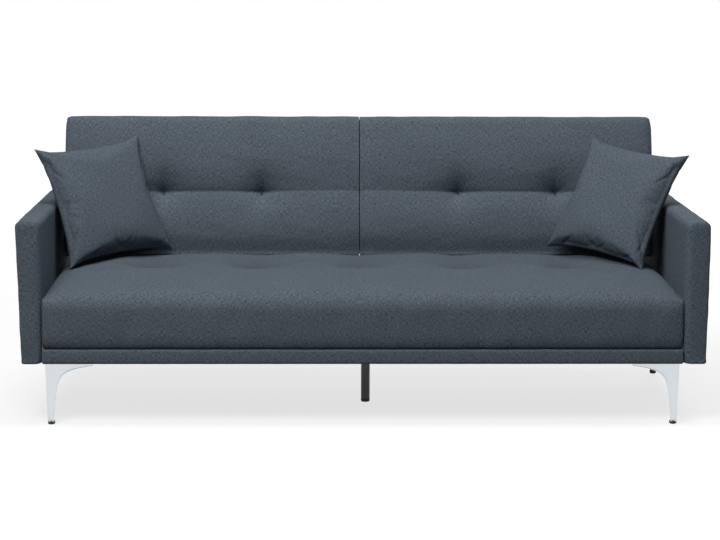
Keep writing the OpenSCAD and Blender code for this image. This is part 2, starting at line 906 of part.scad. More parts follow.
module ratchet_outline() {
    pitch = 360 / ratchet_teeth;
    polygon([for (i = [0:ratchet_teeth - 1]) each [
        ratchet_r * [cos(i * pitch), sin(i * pitch)],
        wheel_root * [cos((i + 0.25) * pitch), sin((i + 0.25) * pitch)]
    ]]);
}

module back_arm_outline() {
    circle(arm_hub_r);
    polygon([
        [0, arm_hub_r], [leaf_y[0], back_clear], [leaf_y[1], back_clear],
        [leaf_y[1], back_clear - leaf_t], arm_hub_r * [cos(45), -sin(45)]
    ]);
}

module back_brackets(side) {
    half_arm = arm_plate_t / 2;
    color(zinc_colour) on_back() for (x = hinge_x) translate([side * x, 0, 0]) difference() {
        union() {
            along_x(-half_arm, half_arm) back_arm_outline();
            along_x(half_arm, half_arm + wheel_w) ratchet_outline();
            block([-leaf_w / 2, leaf_y[0], back_clear - leaf_t], [leaf_w / 2, leaf_y[1], back_clear]);
        }
        rod_x(-half_arm - 1, half_arm + wheel_w + 1, pin_r + pin_fit);
        leaf_screws_at(screw_r + screw_fit, screw_len);
    }
}

// Screw pattern of one back bracket's leaf, drawn upwards from the leaf's underside
module leaf_screws_at(r, h) {
    for (dx = [-leaf_w / 2 + leaf_screw_inset, leaf_w / 2 - leaf_screw_inset],
         dy = [leaf_y[0] + leaf_screw_inset, leaf_y[1] - leaf_screw_inset])
        translate([dx, dy, back_clear - leaf_t]) cylinder(r = r, h = h);
}

module leaf_screw_holes(r) {
    for (x = hinge_x) translate([x, 0, 0]) leaf_screws_at(r, screw_len + leaf_t + screw_fit);
}

module back_screws(side) {
    color(zinc_colour) on_back() for (x = hinge_x) translate([side * x, 0, 0]) {
        leaf_screws_at(screw_r, screw_len + leaf_t);
        translate([0, 0, -screw_head_t]) leaf_screws_at(screw_head_r, screw_head_t);
    }
}

// ---------- throw pillows ----------

// Half thickness at (u, v), each from -1 to 1, for a pillow of half thickness h and half edge e
function pillow_half(u, v, h, e) =
    e + (h - e) * pow((1 - pow(abs(u), pillow_power)) * (1 - pow(abs(v), pillow_power)),
                      pillow_face_power);

// Closed pillow drawn inwards by t: sides pulled in between the corners, both faces crowned
module pillow_solid(t) {
    n = pillow_grid;
    a = pillow_w / 2 - t;
    h = pillow_t / 2 - t;
    e = pillow_edge_t / 2 - t / 2;
    row = n + 1;
    face = row * row;
    at = [for (j = [0:n], i = [0:n])
        let (u = 2 * i / n - 1, v = 2 * j / n - 1)
        [u * (a - pillow_waist * (1 - v * v)), v * (a - pillow_waist * (1 - u * u)),
         pillow_half(u, v, h, e)]];
    points = concat([for (p = at) [p.x, -p.z, p.y]], [for (p = at) [p.x, p.z, p.y]]);
    front = [for (j = [0:n - 1], i = [0:n - 1])
        let (k = j * row + i) each [[k, k + row, k + 1], [k + 1, k + row, k + row + 1]]];
    rear = [for (f = front) [f[2] + face, f[1] + face, f[0] + face]];
    rim = [for (i = [0:n - 1]) each [
        [i, i + 1, i + 1 + face, i + face],
        [n * row + i + 1, n * row + i, n * row + i + face, n * row + i + 1 + face],
        [(i + 1) * row, i * row, i * row + face, (i + 1) * row + face],
        [i * row + n, (i + 1) * row + n, (i + 1) * row + n + face, i * row + n + face]
    ]];
    polyhedron(points, concat(front, rear, rim), convexity = 4);
}

module place_pillow(side) {
    pos = side < 0 ? left_pillow_pos : right_pillow_pos;
    turn = side < 0 ? left_pillow_turn : right_pillow_turn;
    translate(pos) rotate([0, 0, turn[0]]) rotate([-turn[1], 0, 0]) rotate([0, turn[2], 0])
        children();
}

module pillow_insert(side) {
    color(filling_colour) place_pillow(side) pillow_solid(pillow_skin);
}

module pillow_cover(side) {
    slot = pillow_w / 4;
    color(cloth_colour) place_pillow(side) difference() {
        pillow_solid(0);
        pillow_solid(pillow_skin);
        block([-slot, -zip_half, -pillow_w / 2],
              [slot, zip_half, -pillow_w / 2 + pillow_waist + zip_depth]);
    }
}

// ---------- nodes ----------

front_rail();
rear_rail();
side_rail(-1);  // left_side_rail
side_rail(1);  // right_side_rail
hinge_rail();
centre_stretcher();
seat_slats();
slat_holders();
deck_pad();
seat_foam();
seat_cover();
seat_tuft_ties();
front_border();
rear_rail_cover();
dust_cover();
rest_buffers();
arm_frame(-1);  // left_arm_frame
arm_padding(-1);  // left_arm_padding
arm_cover(-1);  // left_arm_cover
arm_frame(1);  // right_arm_frame
arm_padding(1);  // right_arm_padding
arm_cover(1);  // right_arm_cover
arm_bolts();
bracket_leg(-1, -1);  // front_left_leg
bracket_leg(1, -1);  // front_right_leg
bracket_leg(-1, 1);  // rear_left_leg
bracket_leg(1, 1);  // rear_right_leg
leg_glides();
leg_screws();
centre_leg();
centre_leg_plate();
centre_leg_foot();
seat_brackets(-1);  // left_seat_brackets
seat_brackets(1);  // right_seat_brackets
hinge_pins();
hinge_nuts();
bracket_screws();
pawl_springs(-1);  // left_pawl_springs
pawl_springs(1);  // right_pawl_springs
back_frame(-1);  // left_back_frame
back_board(-1);  // left_back_board
back_foam(-1);  // left_back_foam
back_cover(-1);  // left_back_cover
back_tuft_ties(-1);  // left_back_tuft_ties
back_brackets(-1);  // left_back_brackets
back_screws(-1);  // left_back_screws
back_frame(1);  // right_back_frame
back_board(1);  // right_back_board
back_foam(1);  // right_back_foam
back_cover(1);  // right_back_cover
back_tuft_ties(1);  // right_back_tuft_ties
back_brackets(1);  // right_back_brackets
back_screws(1);  // right_back_screws
pawls(-1);  // left_pawls
pawls(1);  // right_pawls
pillow_cover(-1);  // left_pillow_cover
pillow_insert(-1);  // left_pillow_insert
pillow_cover(1);  // right_pillow_cover
pillow_insert(1);  // right_pillow_insert
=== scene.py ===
"""Looks of a split-back sofa bed with two throw pillows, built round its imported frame."""

import json
import logging
import math
from dataclasses import dataclass
from enum import Enum

import bpy
import numpy as np
from mathutils import Matrix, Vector
from numpy.typing import NDArray


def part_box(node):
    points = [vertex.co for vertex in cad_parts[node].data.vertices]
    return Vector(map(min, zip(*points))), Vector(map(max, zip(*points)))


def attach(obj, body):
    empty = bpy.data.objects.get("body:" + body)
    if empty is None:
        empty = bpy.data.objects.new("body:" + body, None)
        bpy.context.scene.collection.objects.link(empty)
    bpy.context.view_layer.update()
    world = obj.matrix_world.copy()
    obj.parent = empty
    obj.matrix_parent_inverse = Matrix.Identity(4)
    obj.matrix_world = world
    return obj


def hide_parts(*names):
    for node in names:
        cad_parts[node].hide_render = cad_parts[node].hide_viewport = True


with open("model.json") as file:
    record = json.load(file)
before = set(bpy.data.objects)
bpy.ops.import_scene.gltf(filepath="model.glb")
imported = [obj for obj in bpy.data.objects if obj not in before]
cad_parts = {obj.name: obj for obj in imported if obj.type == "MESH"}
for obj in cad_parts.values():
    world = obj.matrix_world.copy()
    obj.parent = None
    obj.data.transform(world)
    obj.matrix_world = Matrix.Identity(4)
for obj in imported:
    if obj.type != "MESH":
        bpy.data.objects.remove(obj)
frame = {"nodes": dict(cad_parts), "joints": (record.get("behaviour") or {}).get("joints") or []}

Array = NDArray[np.float64]
Grid = NDArray[np.int64]
Colour = tuple[float, float, float]
LOG = logging.getLogger("sofa_bed")
PILLOW_CLOTH = {
    "quality": 6, "mass": 0.25, "tension_stiffness": 12.0, "compression_stiffness": 12.0,
    "shear_stiffness": 4.0, "bending_stiffness": 0.08, "use_pressure": True, "air_damping": 2.0,
}


class Side(Enum):
    """Which half of the sofa a piece belongs to; the value is the sign of x."""

    LEFT = -1
    RIGHT = 1

    @property
    def word(self) -> str:
        """Name of the side as the frame's nodes write it."""
        return self.name.lower()


class End(Enum):
    """Front or rear end of the base; the value is the sign of y."""

    FRONT = -1
    REAR = 1

    @property
    def word(self) -> str:
        """Name of the end as the frame's nodes write it."""
        return self.name.lower()


# ---------- surfaces as whole arrays ----------


@dataclass
class Surface:
    """A closed skin as arrays.

    Args:
        points: Corners in the frame, one row each.
        quads: Four-cornered faces.
        threes: Three-cornered faces.
        plain: The same corners in the piece's own upright axes, along which its threads run.
        folds: Painted shade and highlight of each corner: up to 1 is painted shade in a fold, below 0
            a painted highlight on its lip.
    """

    points: Array
    quads: Grid
    threes: Grid
    plain: Array | None = None
    folds: Array | None = None

    def placed(self, matrix: Matrix) -> "Surface":
        """Carries the skin by a matrix and keeps the threads along its own axes.

        Args:
            matrix: From the piece's upright axes to the frame.

        Returns:
            The skin in its place.
        """
        turn = np.array(matrix)
        moved = self.points @ turn[:3, :3].T + turn[:3, 3]
        return Surface(moved, self.quads, self.threes, self.points, self.folds)

    def outward(self) -> "Surface":
        """Turns every face round if the signed volume of the skin is negative.

        Returns:
            The skin with its faces looking outwards.
        """
        a, b, c = (self.points[self.quads[:, k]] for k in range(3))
        d = self.points[self.quads[:, 3]]
        volume = np.einsum("ij,ij->", a, np.cross(b, c) + np.cross(c, d))
        if len(self.threes):
            e, f, g = (self.points[self.threes[:, k]] for k in range(3))
            volume += np.einsum("ij,ij->", e, np.cross(f, g))
        if volume < 0:
            return Surface(self.points, self.quads[:, ::-1], self.threes[:, ::-1], self.plain,
                           self.folds)
        return self


def joined(parts: list[Surface]) -> Surface:
    """Puts several skins into one, each still closed by itself.

    Args:
        parts: The skins.

    Returns:
        One skin that holds them all.
    """
    starts = np.cumsum([0] + [len(p.points) for p in parts[:-1]])
    return Surface(
        np.concatenate([p.points for p in parts]),
        np.concatenate([p.quads + s for p, s in zip(parts, starts)]),
        np.concatenate([p.threes + s for p, s in zip(parts, starts)]),
        np.concatenate([p.points if p.plain is None else p.plain for p in parts]),
    )


def smoothstep(low: float, high: float, value: Array) -> Array:
    """Rises smoothly from 0 at low to 1 at high: 3t^2 - 2t^3 of the share t between them."""
    share = np.clip((value - low) / (high - low), 0.0, 1.0)
    return share * share * (3.0 - 2.0 * share)


def bell(value: Array, width: float) -> Array:
    """Gaussian bell: e to the minus (value / width) squared."""
    return np.exp(-np.square(value / width))


def rounded_outline(corners: list[tuple[float, float, float]], steps: int = 8) -> Array:
    """Closed outline whose corners are arcs.

    Each arc touches both sides of its corner; its centre lies on the corner's bisector at
    radius / sin(half angle), and its two ends lie radius / tan(half angle) from the corner.

    Args:
        corners: x, y and radius of each corner, in order.
        steps: Stretches in each arc.

    Returns:
        The outline's points, one row each.
    """
    data = np.array(corners, float)
    at, radius = data[:, :2], data[:, 2:]
    back = np.roll(at, 1, axis=0) - at
    ahead = np.roll(at, -1, axis=0) - at
    back /= np.linalg.norm(back, axis=1, keepdims=True)
    ahead /= np.linalg.norm(ahead, axis=1, keepdims=True)
    half = np.arccos(np.clip((back * ahead).sum(1, keepdims=True), -1, 1)) / 2
    middle = back + ahead
    middle /= np.linalg.norm(middle, axis=1, keepdims=True)
    centre = at + middle * radius / np.sin(half)
    first = at + back * radius / np.tan(half) - centre
    last = at + ahead * radius / np.tan(half) - centre
    begin = np.arctan2(first[:, 1], first[:, 0])
    turn = np.arctan2(
        first[:, 0] * last[:, 1] - first[:, 1] * last[:, 0], (first * last).sum(1)
    )
    angle = begin[:, None] + turn[:, None] * np.linspace(0, 1, steps + 1)
    arcs = centre[:, None] + radius[:, None] * np.stack([np.cos(angle), np.sin(angle)], -1)
    return arcs.reshape(-1, 2)


def spaced(line: Array, count: int, finer: Array | None = None) -> Array:
    """Points spread along a closed line by its length.

    Args:
        line: The line's points, the first not repeated.
        count: How many points come back.
        finer: How densely the points lie on the stretch after each of the line's points.

    Returns:
        The spread points; the first isn't repeated.
    """
    path = np.vstack([line, line[:1]])
    step = np.linalg.norm(np.diff(path, axis=0), axis=1)
    if finer is not None:
        step = step * finer
    length = np.concatenate([[0.0], np.cumsum(step)])
    wanted = np.linspace(0.0, length[-1], count + 1)[:count]
    return np.stack([np.interp(wanted, length, column) for column in path.T], axis=-1)


def grid_faces(rows: int, columns: int, wrap: bool = False) -> Grid:
    """Four-cornered faces of a grid of rows x columns points.

    Args:
        rows: Points along the first direction.
        columns: Points along the second direction.
        wrap: Whether the second direction runs back to its start.

    Returns:
        The corners of each face.
    """
    i = np.arange(rows - 1)[:, None]
    j = np.arange(columns if wrap else columns - 1)[None, :]
    k = (j + 1) % columns
    corners = [i * columns + j, (i + 1) * columns + j, (i + 1) * columns + k, i * columns + k]
    return np.stack([c.reshape(-1) for c in corners], axis=-1)


def loft(rings: Array, dome: float = 0.0, cap: int = 8, folds: Array | None = None) -> Surface:
    """Closed skin over rings of points, with both ends drawn together to a pole.

    Each cap ring is the end ring shrunk to the share s about its middle and pushed outwards by
    dome * (1 - s^2), so that the end is a shallow dome.

    Args:
        rings: Points as (rings, points round, 3).
        dome: Height of the domes.
        cap: Rings in each dome.
        folds: Painted shade and highlight of each point of the rings; the domes have none.

    Returns:
        The closed skin.
    """
    shares = np.linspace(0.0, 1.0, cap + 1)[1:-1, None, None]

    def end(ring: Array, inner: Array) -> tuple[Array, Array]:
        middle = ring.mean(0)
        out = middle - inner.mean(0)
        out = out / np.linalg.norm(out)
        rows = middle + (ring - middle)[None] * shares + out * dome * (1 - shares**2)
        return rows, middle + out * dome

    first, first_pole = end(rings[0], rings[1])
    last, last_pole = end(rings[-1], rings[-2])
    body = np.concatenate([first, rings, last[::-1]])
    rows, columns = body.shape[:2]
    points = np.concatenate([body.reshape(-1, 3), first_pole[None], last_pole[None]])
    j = np.arange(columns)
    k = (j + 1) % columns
    poles = rows * columns
    start = np.stack([np.full(columns, poles), j, k], axis=-1)
    tail = (rows - 1) * columns
    finish = np.stack([np.full(columns, poles + 1), tail + k, tail + j], axis=-1)
    marks = None
    if folds is not None:
        bare = np.zeros((cap - 1) * columns)
        marks = np.concatenate([bare, folds.reshape(-1), bare, np.zeros(2)])
    skin = Surface(points, grid_faces(rows, columns, wrap=True), np.concatenate([start, finish]),
                   None, marks)
    return skin.outward()


def thick_sheet(front: Array, rear: Array) -> Surface:
    """Closed skin between two grids of points, joined by a strip along each of their edges.

    Args:
        front: Points as (rows, columns, 3).
        rear: Points of the same shape, behind the front ones.

    Returns:
        The closed skin.
    """
    rows, columns = front.shape[:2]
    count = rows * columns
    faces = grid_faces(rows, columns)
    index = np.arange(count).reshape(rows, columns)
    edge = np.concatenate([index[0, :-1], index[:-1, -1], index[-1, :0:-1], index[:0:-1, 0]])
    ahead = np.roll(edge, -1)
    strip = np.stack([edge, ahead, ahead + count, edge + count], axis=-1)
    quads = np.concatenate([faces, faces[:, ::-1] + count, strip])
    points = np.concatenate([front.reshape(-1, 3), rear.reshape(-1, 3)])
    return Surface(points, quads, np.zeros((0, 3), np.int64)).outward()


def swept(places: Array, flat: Array) -> Array:
    """Stands each flat ring (y, z) at its place along x.

    Args:
        places: One place along x for each ring.
        flat: Rings as (rings, points round, 2).

    Returns:
        Points as (rings, points round, 3).
    """
    along = np.broadcast_to(places[:, None, None], flat.shape[:2] + (1,))
    return np.concatenate([along, flat], -1)


def spread(low: Array, high: Array, rows: int, columns: int) -> tuple[Array, Array, Array]:
    """Grid over a flat box, and how far each of its points is from the box's nearest edge.

    Args:
        low: Lowest corner, as two coordinates.
        high: Highest corner.
        rows: Points along the first direction.
        columns: Points along the second direction.

    Returns:
        First coordinates, second coordinates and distances, each as (rows, columns).
    """
    a, b = np.meshgrid(np.linspace(low[0], high[0], rows), np.linspace(low[1], high[1], columns),
                       indexing="ij")
    from_ends = np.minimum(a - low[0], high[0] - a)
    return a, b, np.minimum(from_ends, np.minimum(b - low[1], high[1] - b))


def ring_normals(rings: Array) -> Array:
    """Outward directions at the points of rings: the cross product of the steps along and round.

    Args:
        rings: Points as (rings, points round, 3).

    Returns:
        Directions of length 1, in the same shape.
    """
    along = np.gradient(rings, axis=0)
    around = np.roll(rings, -1, axis=1) - np.roll(rings, 1, axis=1)
    out = np.cross(along, around)
    out /= np.maximum(np.linalg.norm(out, axis=2, keepdims=True), 1e-12)
    middle = rings.mean(1, keepdims=True)
    sign = np.sign(np.einsum("ijk,ijk->", out, rings - middle))
    return out * sign


def drawn_in(ring: Array, inset: Array) -> Array:
    """Copies of one flat ring drawn in about the middle of its box by each inset.

    Args:
        ring: Points as (points, 2).
        inset: One distance for each copy.

    Returns:
        Points as (copies, points, 2).
    """
    low, high = ring.min(0), ring.max(0)
    middle, half = (low + high) / 2, (high - low) / 2
    share = 1.0 - inset[:, None, None] / half
    return middle + (ring - middle)[None] * share


def round_stations(low: float, high: float, radius_low: float, radius_high: float,
                   count: int, turns: int = 7) -> tuple[Array, Array]:
    """Stations along a path whose two ends are rounded by quarter circles.

    At the angle a of an end's quarter circle, the station lies radius * (1 - cos a) inside the
    end and its ring is drawn in by radius * (1 - sin a).

    Args:
        low: Place of the first end.
        high: Place of the last end.
        radius_low: Radius of the first end's edge.
        radius_high: Radius of the last end's edge.
        count: Stations on the straight stretch.
        turns: Stations on each rounded end.

    Returns:
        Places along the path, and how far the ring is drawn in at each.
    """
    angle = np.linspace(0.0, math.pi / 2, turns)
    near, far = 1 - np.cos(angle), 1 - np.sin(angle)
    straight = np.linspace(low + radius_low, high - radius_high, count + 2)[1:-1]
    places = np.concatenate([low + radius_low * near, straight, (high - radius_high * near)[::-1]])
    inset = np.concatenate([radius_low * far, np.zeros(count), (radius_high * far)[::-1]])
    return places, inset


def ripple(a: Array, b: Array, length: float, seed: int, waves: int = 9) -> Array:
    """Gentle unevenness of a hand-covered pad: the mean of plane sine waves of about one length.

    Args:
        a: First coordinate over the surface.
        b: Second coordinate over the surface.
        length: Wave length.
        seed: Seed of the waves' directions, lengths and phases.
        waves: How many waves are laid over each other.

    Returns:
        Heights between about -1 and 1.
    """
    rng = np.random.default_rng(seed)
    heading = rng.uniform(0, math.pi, waves)
    size = length * rng.uniform(0.7, 1.5, waves)
    phase = rng.uniform(0, 2 * math.pi, waves)
    total = np.zeros(np.broadcast(a, b).shape)
    for turn, long, start in zip(heading, size, phase):
        total += np.sin(2 * math.pi * (a * math.cos(turn) + b * math.sin(turn)) / long + start)
    return total / math.sqrt(waves)


def tuft_pull(da: Array, db: Array, reach: float, depth: float, pleats: int, phase: float) -> Array:
    """How deep a blind tuft pulls the cloth in.

    A narrow cusp e^(-r / (0.24 reach)) stands on a wide bell e^(-(r / reach)^2), and shallow
    pleats fan out of the tuft as a cosine of the angle and fade with the distance.

    Args:
        da: First distance from the tuft.
        db: Second distance from the tuft.
        reach: How far the pull reaches.
        depth: Depth at the tuft.
        pleats: Number of pleats round the tuft.
        phase: Turn of the pleats.

    Returns:
        Depth below the untufted surface.
    """
    away = np.hypot(da, db)
    angle = np.arctan2(db, da)
    cusp = 0.52 * np.exp(-away / (0.24 * reach)) + 0.48 * bell(away, reach)
    fold = 0.06 * np.cos(pleats * angle + phase) * (away / reach) * np.exp(1 - 2.4 * away / reach)
    return depth * (cusp + fold)


# ---------- node trees ----------


class Tree:
    """Adds nodes to a shader tree and links them.

    Args:
        tree: The node tree to fill.
    """

    def __init__(self, tree: bpy.types.NodeTree) -> None:
        self.tree = tree

    def put(self, kind: str, inputs: dict | None = None, **settings: object) -> bpy.types.Node:
        """Adds one node.

        Args:
            kind: Node type without its ShaderNode prefix.
            inputs: Values or output sockets for the node's inputs, by name or number.
            **settings: Properties of the node.

        Returns:
            The node.
        """
        node = self.tree.nodes.new("ShaderNode" + kind)
        for name, value in settings.items():
            setattr(node, name, value)
        for key, value in (inputs or {}).items():
            if isinstance(value, bpy.types.NodeSocket):
                self.tree.links.new(value, node.inputs[key])
            else:
                node.inputs[key].default_value = value
        return node

    def link(self, source: bpy.types.NodeSocket, target: bpy.types.NodeSocket) -> None:
        """Joins two sockets."""
        self.tree.links.new(source, target)

    def math(self, operation: str, a: object, b: object = 0.0) -> bpy.types.NodeSocket:
        """Result of one calculation on two numbers."""
        return self.put("Math", {0: a, 1: b}, operation=operation).outputs[0]

    def plus(self, a: object, b: object) -> bpy.types.NodeSocket:
        """Sum of two numbers."""
        return self.math("ADD", a, b)

    def times(self, a: object, b: object) -> bpy.types.NodeSocket:
        """Product of two numbers."""
        return self.math("MULTIPLY", a, b)

    def thread(self, place: bpy.types.NodeSocket) -> bpy.types.NodeSocket:
        """Half waves |sin| across one set of threads."""
        return self.math("ABSOLUTE", self.math("SINE", self.times(place, math.pi)))

    def mix(self, share: object, a: object, b: object, blend: str = "MIX") -> bpy.types.NodeSocket:
        """Mix of two colours."""
        node = self.put("Mix", {0: share, 6: a, 7: b}, data_type="RGBA", blend_type=blend)
        return node.outputs[2]

    def noise(self, vector: object, scale: float, detail: float = 2.0,
              roughness: float = 0.5) -> bpy.types.NodeSocket:
        """Noise value at a place."""
        node = self.put("TexNoise", {"Vector": vector, "Scale": scale, "Detail": detail,
                                     "Roughness": roughness})
        return node.outputs[0]

    def stretch(self, vector: object, scale: tuple[float, float, float]) -> bpy.types.NodeSocket:
        """Place scaled differently along its three axes."""
        return self.put("Mapping", {"Vector": vector, "Scale": scale}).outputs[0]

    def between(self, value: object, low: float, high: float, to_low: float = 0.0,
                to_high: float = 1.0) -> bpy.types.NodeSocket:
        """Value carried from one range to another and held inside it."""
        node = self.put("MapRange", {"Value": value, "From Min": low, "From Max": high,
                                     "To Min": to_low, "To Max": to_high})
        return node.outputs[0]


def rgba(colour: Colour) -> tuple[float, float, float, float]:
    """Linear colour with full opacity from one given in display values from 0 to 255."""
    share = [c / 255.0 for c in colour]
    linear = [c / 12.92 if c <= 0.04045 else ((c + 0.055) / 1.055) ** 2.4 for c in share]
    return (linear[0], linear[1], linear[2], 1.0)


def effect(name: str, takes: dict[str, str], gives: dict[str, str]) -> tuple[
        bpy.types.NodeTree, Tree, bpy.types.Node, bpy.types.Node]:
    """Starts a shader node group with named inputs and outputs.

    Args:
        name: Name of the group.
        takes: Socket kind of each input by its name.
        gives: Socket kind of each output by its name.

    Returns:
        The group, its tree, and its input and output nodes.
    """
    group = bpy.data.node_groups.new(name, "ShaderNodeTree")
    for label, kind in takes.items():
        group.interface.new_socket(label, in_out="INPUT", socket_type="NodeSocket" + kind)
    for label, kind in gives.items():
        group.interface.new_socket(label, in_out="OUTPUT", socket_type="NodeSocket" + kind)
    tree = Tree(group)
    return group, tree, group.nodes.new("NodeGroupInput"), group.nodes.new("NodeGroupOutput")


class Effects:
    """The node groups that the finishes share, each built once."""

    def __init__(self) -> None:
        self.weave = self._weave()
        self.grain = self._grain()
        self.scuff = self._scuff()
        self.pores = self._pores()

    @staticmethod
    def _weave() -> bpy.types.NodeTree:
        """Plain weave of slubby two-tone yarn.

        Warp and weft are half waves |sin| across the threads, and a chequer says which is on
        top. Long thin noise along each thread set mixes the dark and the light yarn. The yarn is
        darkened where the threads dip, as painted shade. The fold value is painted shade in the
        folds and a painted highlight on their lips.
        """
        group, tree, start, end = effect(
            "plain_weave",
            {"Vector": "Vector", "Threads": "Float", "Dark": "Color", "Light": "Color",
             "Contrast": "Float", "Folds": "Float"},
            {"Color": "Color", "Height": "Float", "Roughness": "Float"},
        )
        place = tree.put("VectorMath", {0: start.outputs["Vector"], 3: start.outputs["Threads"]},
                         operation="SCALE").outputs[0]
        parts = tree.put("SeparateXYZ", {0: place})
        warp, weft = tree.thread(parts.outputs[0]), tree.thread(parts.outputs[1])
        over = tree.put("TexChecker", {"Vector": place, "Scale": 1.0}).outputs[1]
        height = tree.put("Mix", {0: over, 2: warp, 3: weft}, data_type="FLOAT").outputs[0]
        long_warp = tree.noise(tree.stretch(place, (0.9, 0.13, 1.0)), 1.0, 2.0, 0.6)
        long_weft = tree.noise(tree.stretch(place, (0.13, 0.9, 1.0)), 1.0, 2.0, 0.6)
        yarn = tree.plus(long_warp, long_weft)
        fleck = tree.math("SUBTRACT", tree.noise(place, 1.1, 2.0, 0.7), 0.5)
        heather = tree.plus(tree.times(yarn, 0.5), tree.times(fleck, 0.55))
        swing = tree.times(tree.math("SUBTRACT", heather, 0.5), start.outputs["Contrast"])
        share = tree.between(swing, -0.5, 0.5)
        colour = tree.mix(share, start.outputs["Dark"], start.outputs["Light"])
        # Painted shade where the threads dip, multiplied into the yarn colour.
        shade = tree.between(height, 0.0, 1.0, 0.72, 1.06)
        yarn_with_dip_shade = tree.mix(1.0, colour, shade, "MULTIPLY")
        patch = tree.between(tree.noise(place, 0.006, 2.0), 0.3, 0.7, 0.97, 1.03)
        # Painted shade in the folds and a painted highlight on their lips, from the fold value.
        painted_shade_and_highlight = tree.between(start.outputs["Folds"], -1.0, 1.0, 1.45, 0.55)
        shaded = tree.mix(1.0, yarn_with_dip_shade, painted_shade_and_highlight, "MULTIPLY")
        tree.link(tree.mix(1.0, shaded, patch, "MULTIPLY"), end.inputs["Color"])
        tree.link(tree.plus(height, tree.times(heather, 0.8)), end.inputs["Height"])
        tree.link(tree.between(heather, 0.3, 0.7, 0.95, 0.78), end.inputs["Roughness"])
        return group

    @staticmethod
    def _grain() -> bpy.types.NodeTree:
        """Wood grain: warped bands along the first axis, crossed by fine pores."""
        group, tree, start, end = effect(
            "wood_grain",
            {"Vector": "Vector", "Dark": "Color", "Light": "Color"},
            {"Color": "Color", "Height": "Float", "Roughness": "Float"},
        )
        place = start.outputs["Vector"]
        long = tree.stretch(place, (1.2, 14.0, 14.0))
        bend = tree.noise(long, 1.6, 3.0)
        bands = tree.put("TexWave", {"Vector": long, "Scale": 1.4, "Distortion": 3.5,
                                     "Detail": 3.0, "Detail Scale": 1.2},
                         bands_direction="Y").outputs[1]
        pores = tree.noise(tree.stretch(place, (18.0, 900.0, 900.0)), 1.0, 2.0)
        share = tree.plus(tree.times(bands, 0.55), tree.times(bend, 0.45))
        wood = tree.mix(share, start.outputs["Dark"], start.outputs["Light"])
        dots = tree.between(pores, 0.35, 0.6, 0.82, 1.0)
        tree.link(tree.mix(1.0, wood, dots, "MULTIPLY"), end.inputs["Color"])
        tree.link(tree.plus(tree.times(bands, 0.4), pores), end.inputs["Height"])
        tree.link(tree.between(share, 0.0, 1.0, 0.72, 0.5), end.inputs["Roughness"])
        return group

    @staticmethod
    def _scuff() -> bpy.types.NodeTree:
        """Handling marks: cloudy smears with fine scratches along one direction."""
        group, tree, start, end = effect(
            "handling_marks",
            {"Vector": "Vector", "Color": "Color", "Dull": "Float", "Bright": "Float"},
            {"Color": "Color", "Height": "Float", "Roughness": "Float"},
        )
        place = start.outputs["Vector"]
        cloud = tree.noise(place, 26.0, 4.0, 0.6)
        lines = tree.noise(tree.stretch(place, (1500.0, 1500.0, 40.0)), 1.0, 2.0, 0.6)
        mark = tree.plus(tree.times(cloud, 0.7), tree.times(lines, 0.3))
        tone = tree.between(mark, 0.3, 0.7, 0.93, 1.04)
        tree.link(tree.mix(1.0, start.outputs["Color"], tone, "MULTIPLY"), end.inputs["Color"])
        rough = tree.put("MapRange", {"Value": mark, "From Min": 0.3, "From Max": 0.7,
                                      "To Min": start.outputs["Bright"],
                                      "To Max": start.outputs["Dull"]})
        tree.link(rough.outputs[0], end.inputs["Roughness"])
        tree.link(lines, end.inputs["Height"])
        return group

    @staticmethod
    def _pores() -> bpy.types.NodeTree:
        """Grainy or cellular surface: cells of one size over soft mottling."""
        group, tree, start, end = effect(
            "pores",
            {"Vector": "Vector", "Color": "Color", "Cells": "Float", "Mottle": "Float"},
            {"Color": "Color", "Height": "Float", "Roughness": "Float"},
        )
        place = tree.put("VectorMath", {0: start.outputs["Vector"], 3: start.outputs["Cells"]},
                         operation="SCALE").outputs[0]
        cell = tree.put("TexVoronoi", {"Vector": place, "Scale": 1.0}).outputs[0]
        soft = tree.noise(place, 0.15, 3.0)
        swing = tree.times(tree.math("SUBTRACT", soft, 0.5), start.outputs["Mottle"])
        pit = tree.between(cell, 0.0, 0.8, 0.86, 1.04)
        tone = tree.plus(pit, swing)
        tree.link(tree.mix(1.0, start.outputs["Color"], tone, "MULTIPLY"), end.inputs["Color"])
        tree.link(tree.plus(cell, soft), end.inputs["Height"])
        tree.link(tree.between(soft, 0.3, 0.7, 0.55, 0.85), end.inputs["Roughness"])
        return group


# ---------- finishes ----------


@dataclass(frozen=True)
class Finish:
    """What every finish has.

    Args:
        name: Name of the material.
        slot: The record's material slot it stands for; not used.
    """

    name: str
    slot: str

    def shell(self, given: dict[str, object]) -> tuple[
            bpy.types.Material, Tree, bpy.types.Node, bpy.types.Node]:
        """Starts the material.

        Args:
            given: Constants on the surface shader's own sockets.

        Returns:
            The material, its tree, its surface shader and its coordinates.
        """
        material = bpy.data.materials.new(self.name)
        material.use_nodes = True
        tree = Tree(material.node_tree)
        tree.tree.nodes.clear()
        shader = tree.put("BsdfPrincipled", given)
        tree.put("OutputMaterial", {"Surface": shader.outputs[0]})
        return material, tree, shader, tree.put("TexCoord")

    def join(self, tree: Tree, shader: bpy.types.Node, group: bpy.types.Node, bump: float,
             depth: float) -> None:
        """Feeds a shader from an effect's colour, roughness and height.

        Args:
            tree: The material's tree.
            shader: Its surface shader.
            group: The placed effect.
            bump: Strength of the bump.
            depth: Height that the effect's full swing stands for, in metres.
        """
        tree.link(group.outputs["Color"], shader.inputs["Base Color"])
        tree.link(group.outputs["Roughness"], shader.inputs["Roughness"])
        relief = tree.put("Bump", {"Strength": bump, "Distance": depth,
                                   "Height": group.outputs["Height"]})
        tree.link(relief.outputs[0], shader.inputs["Normal"])


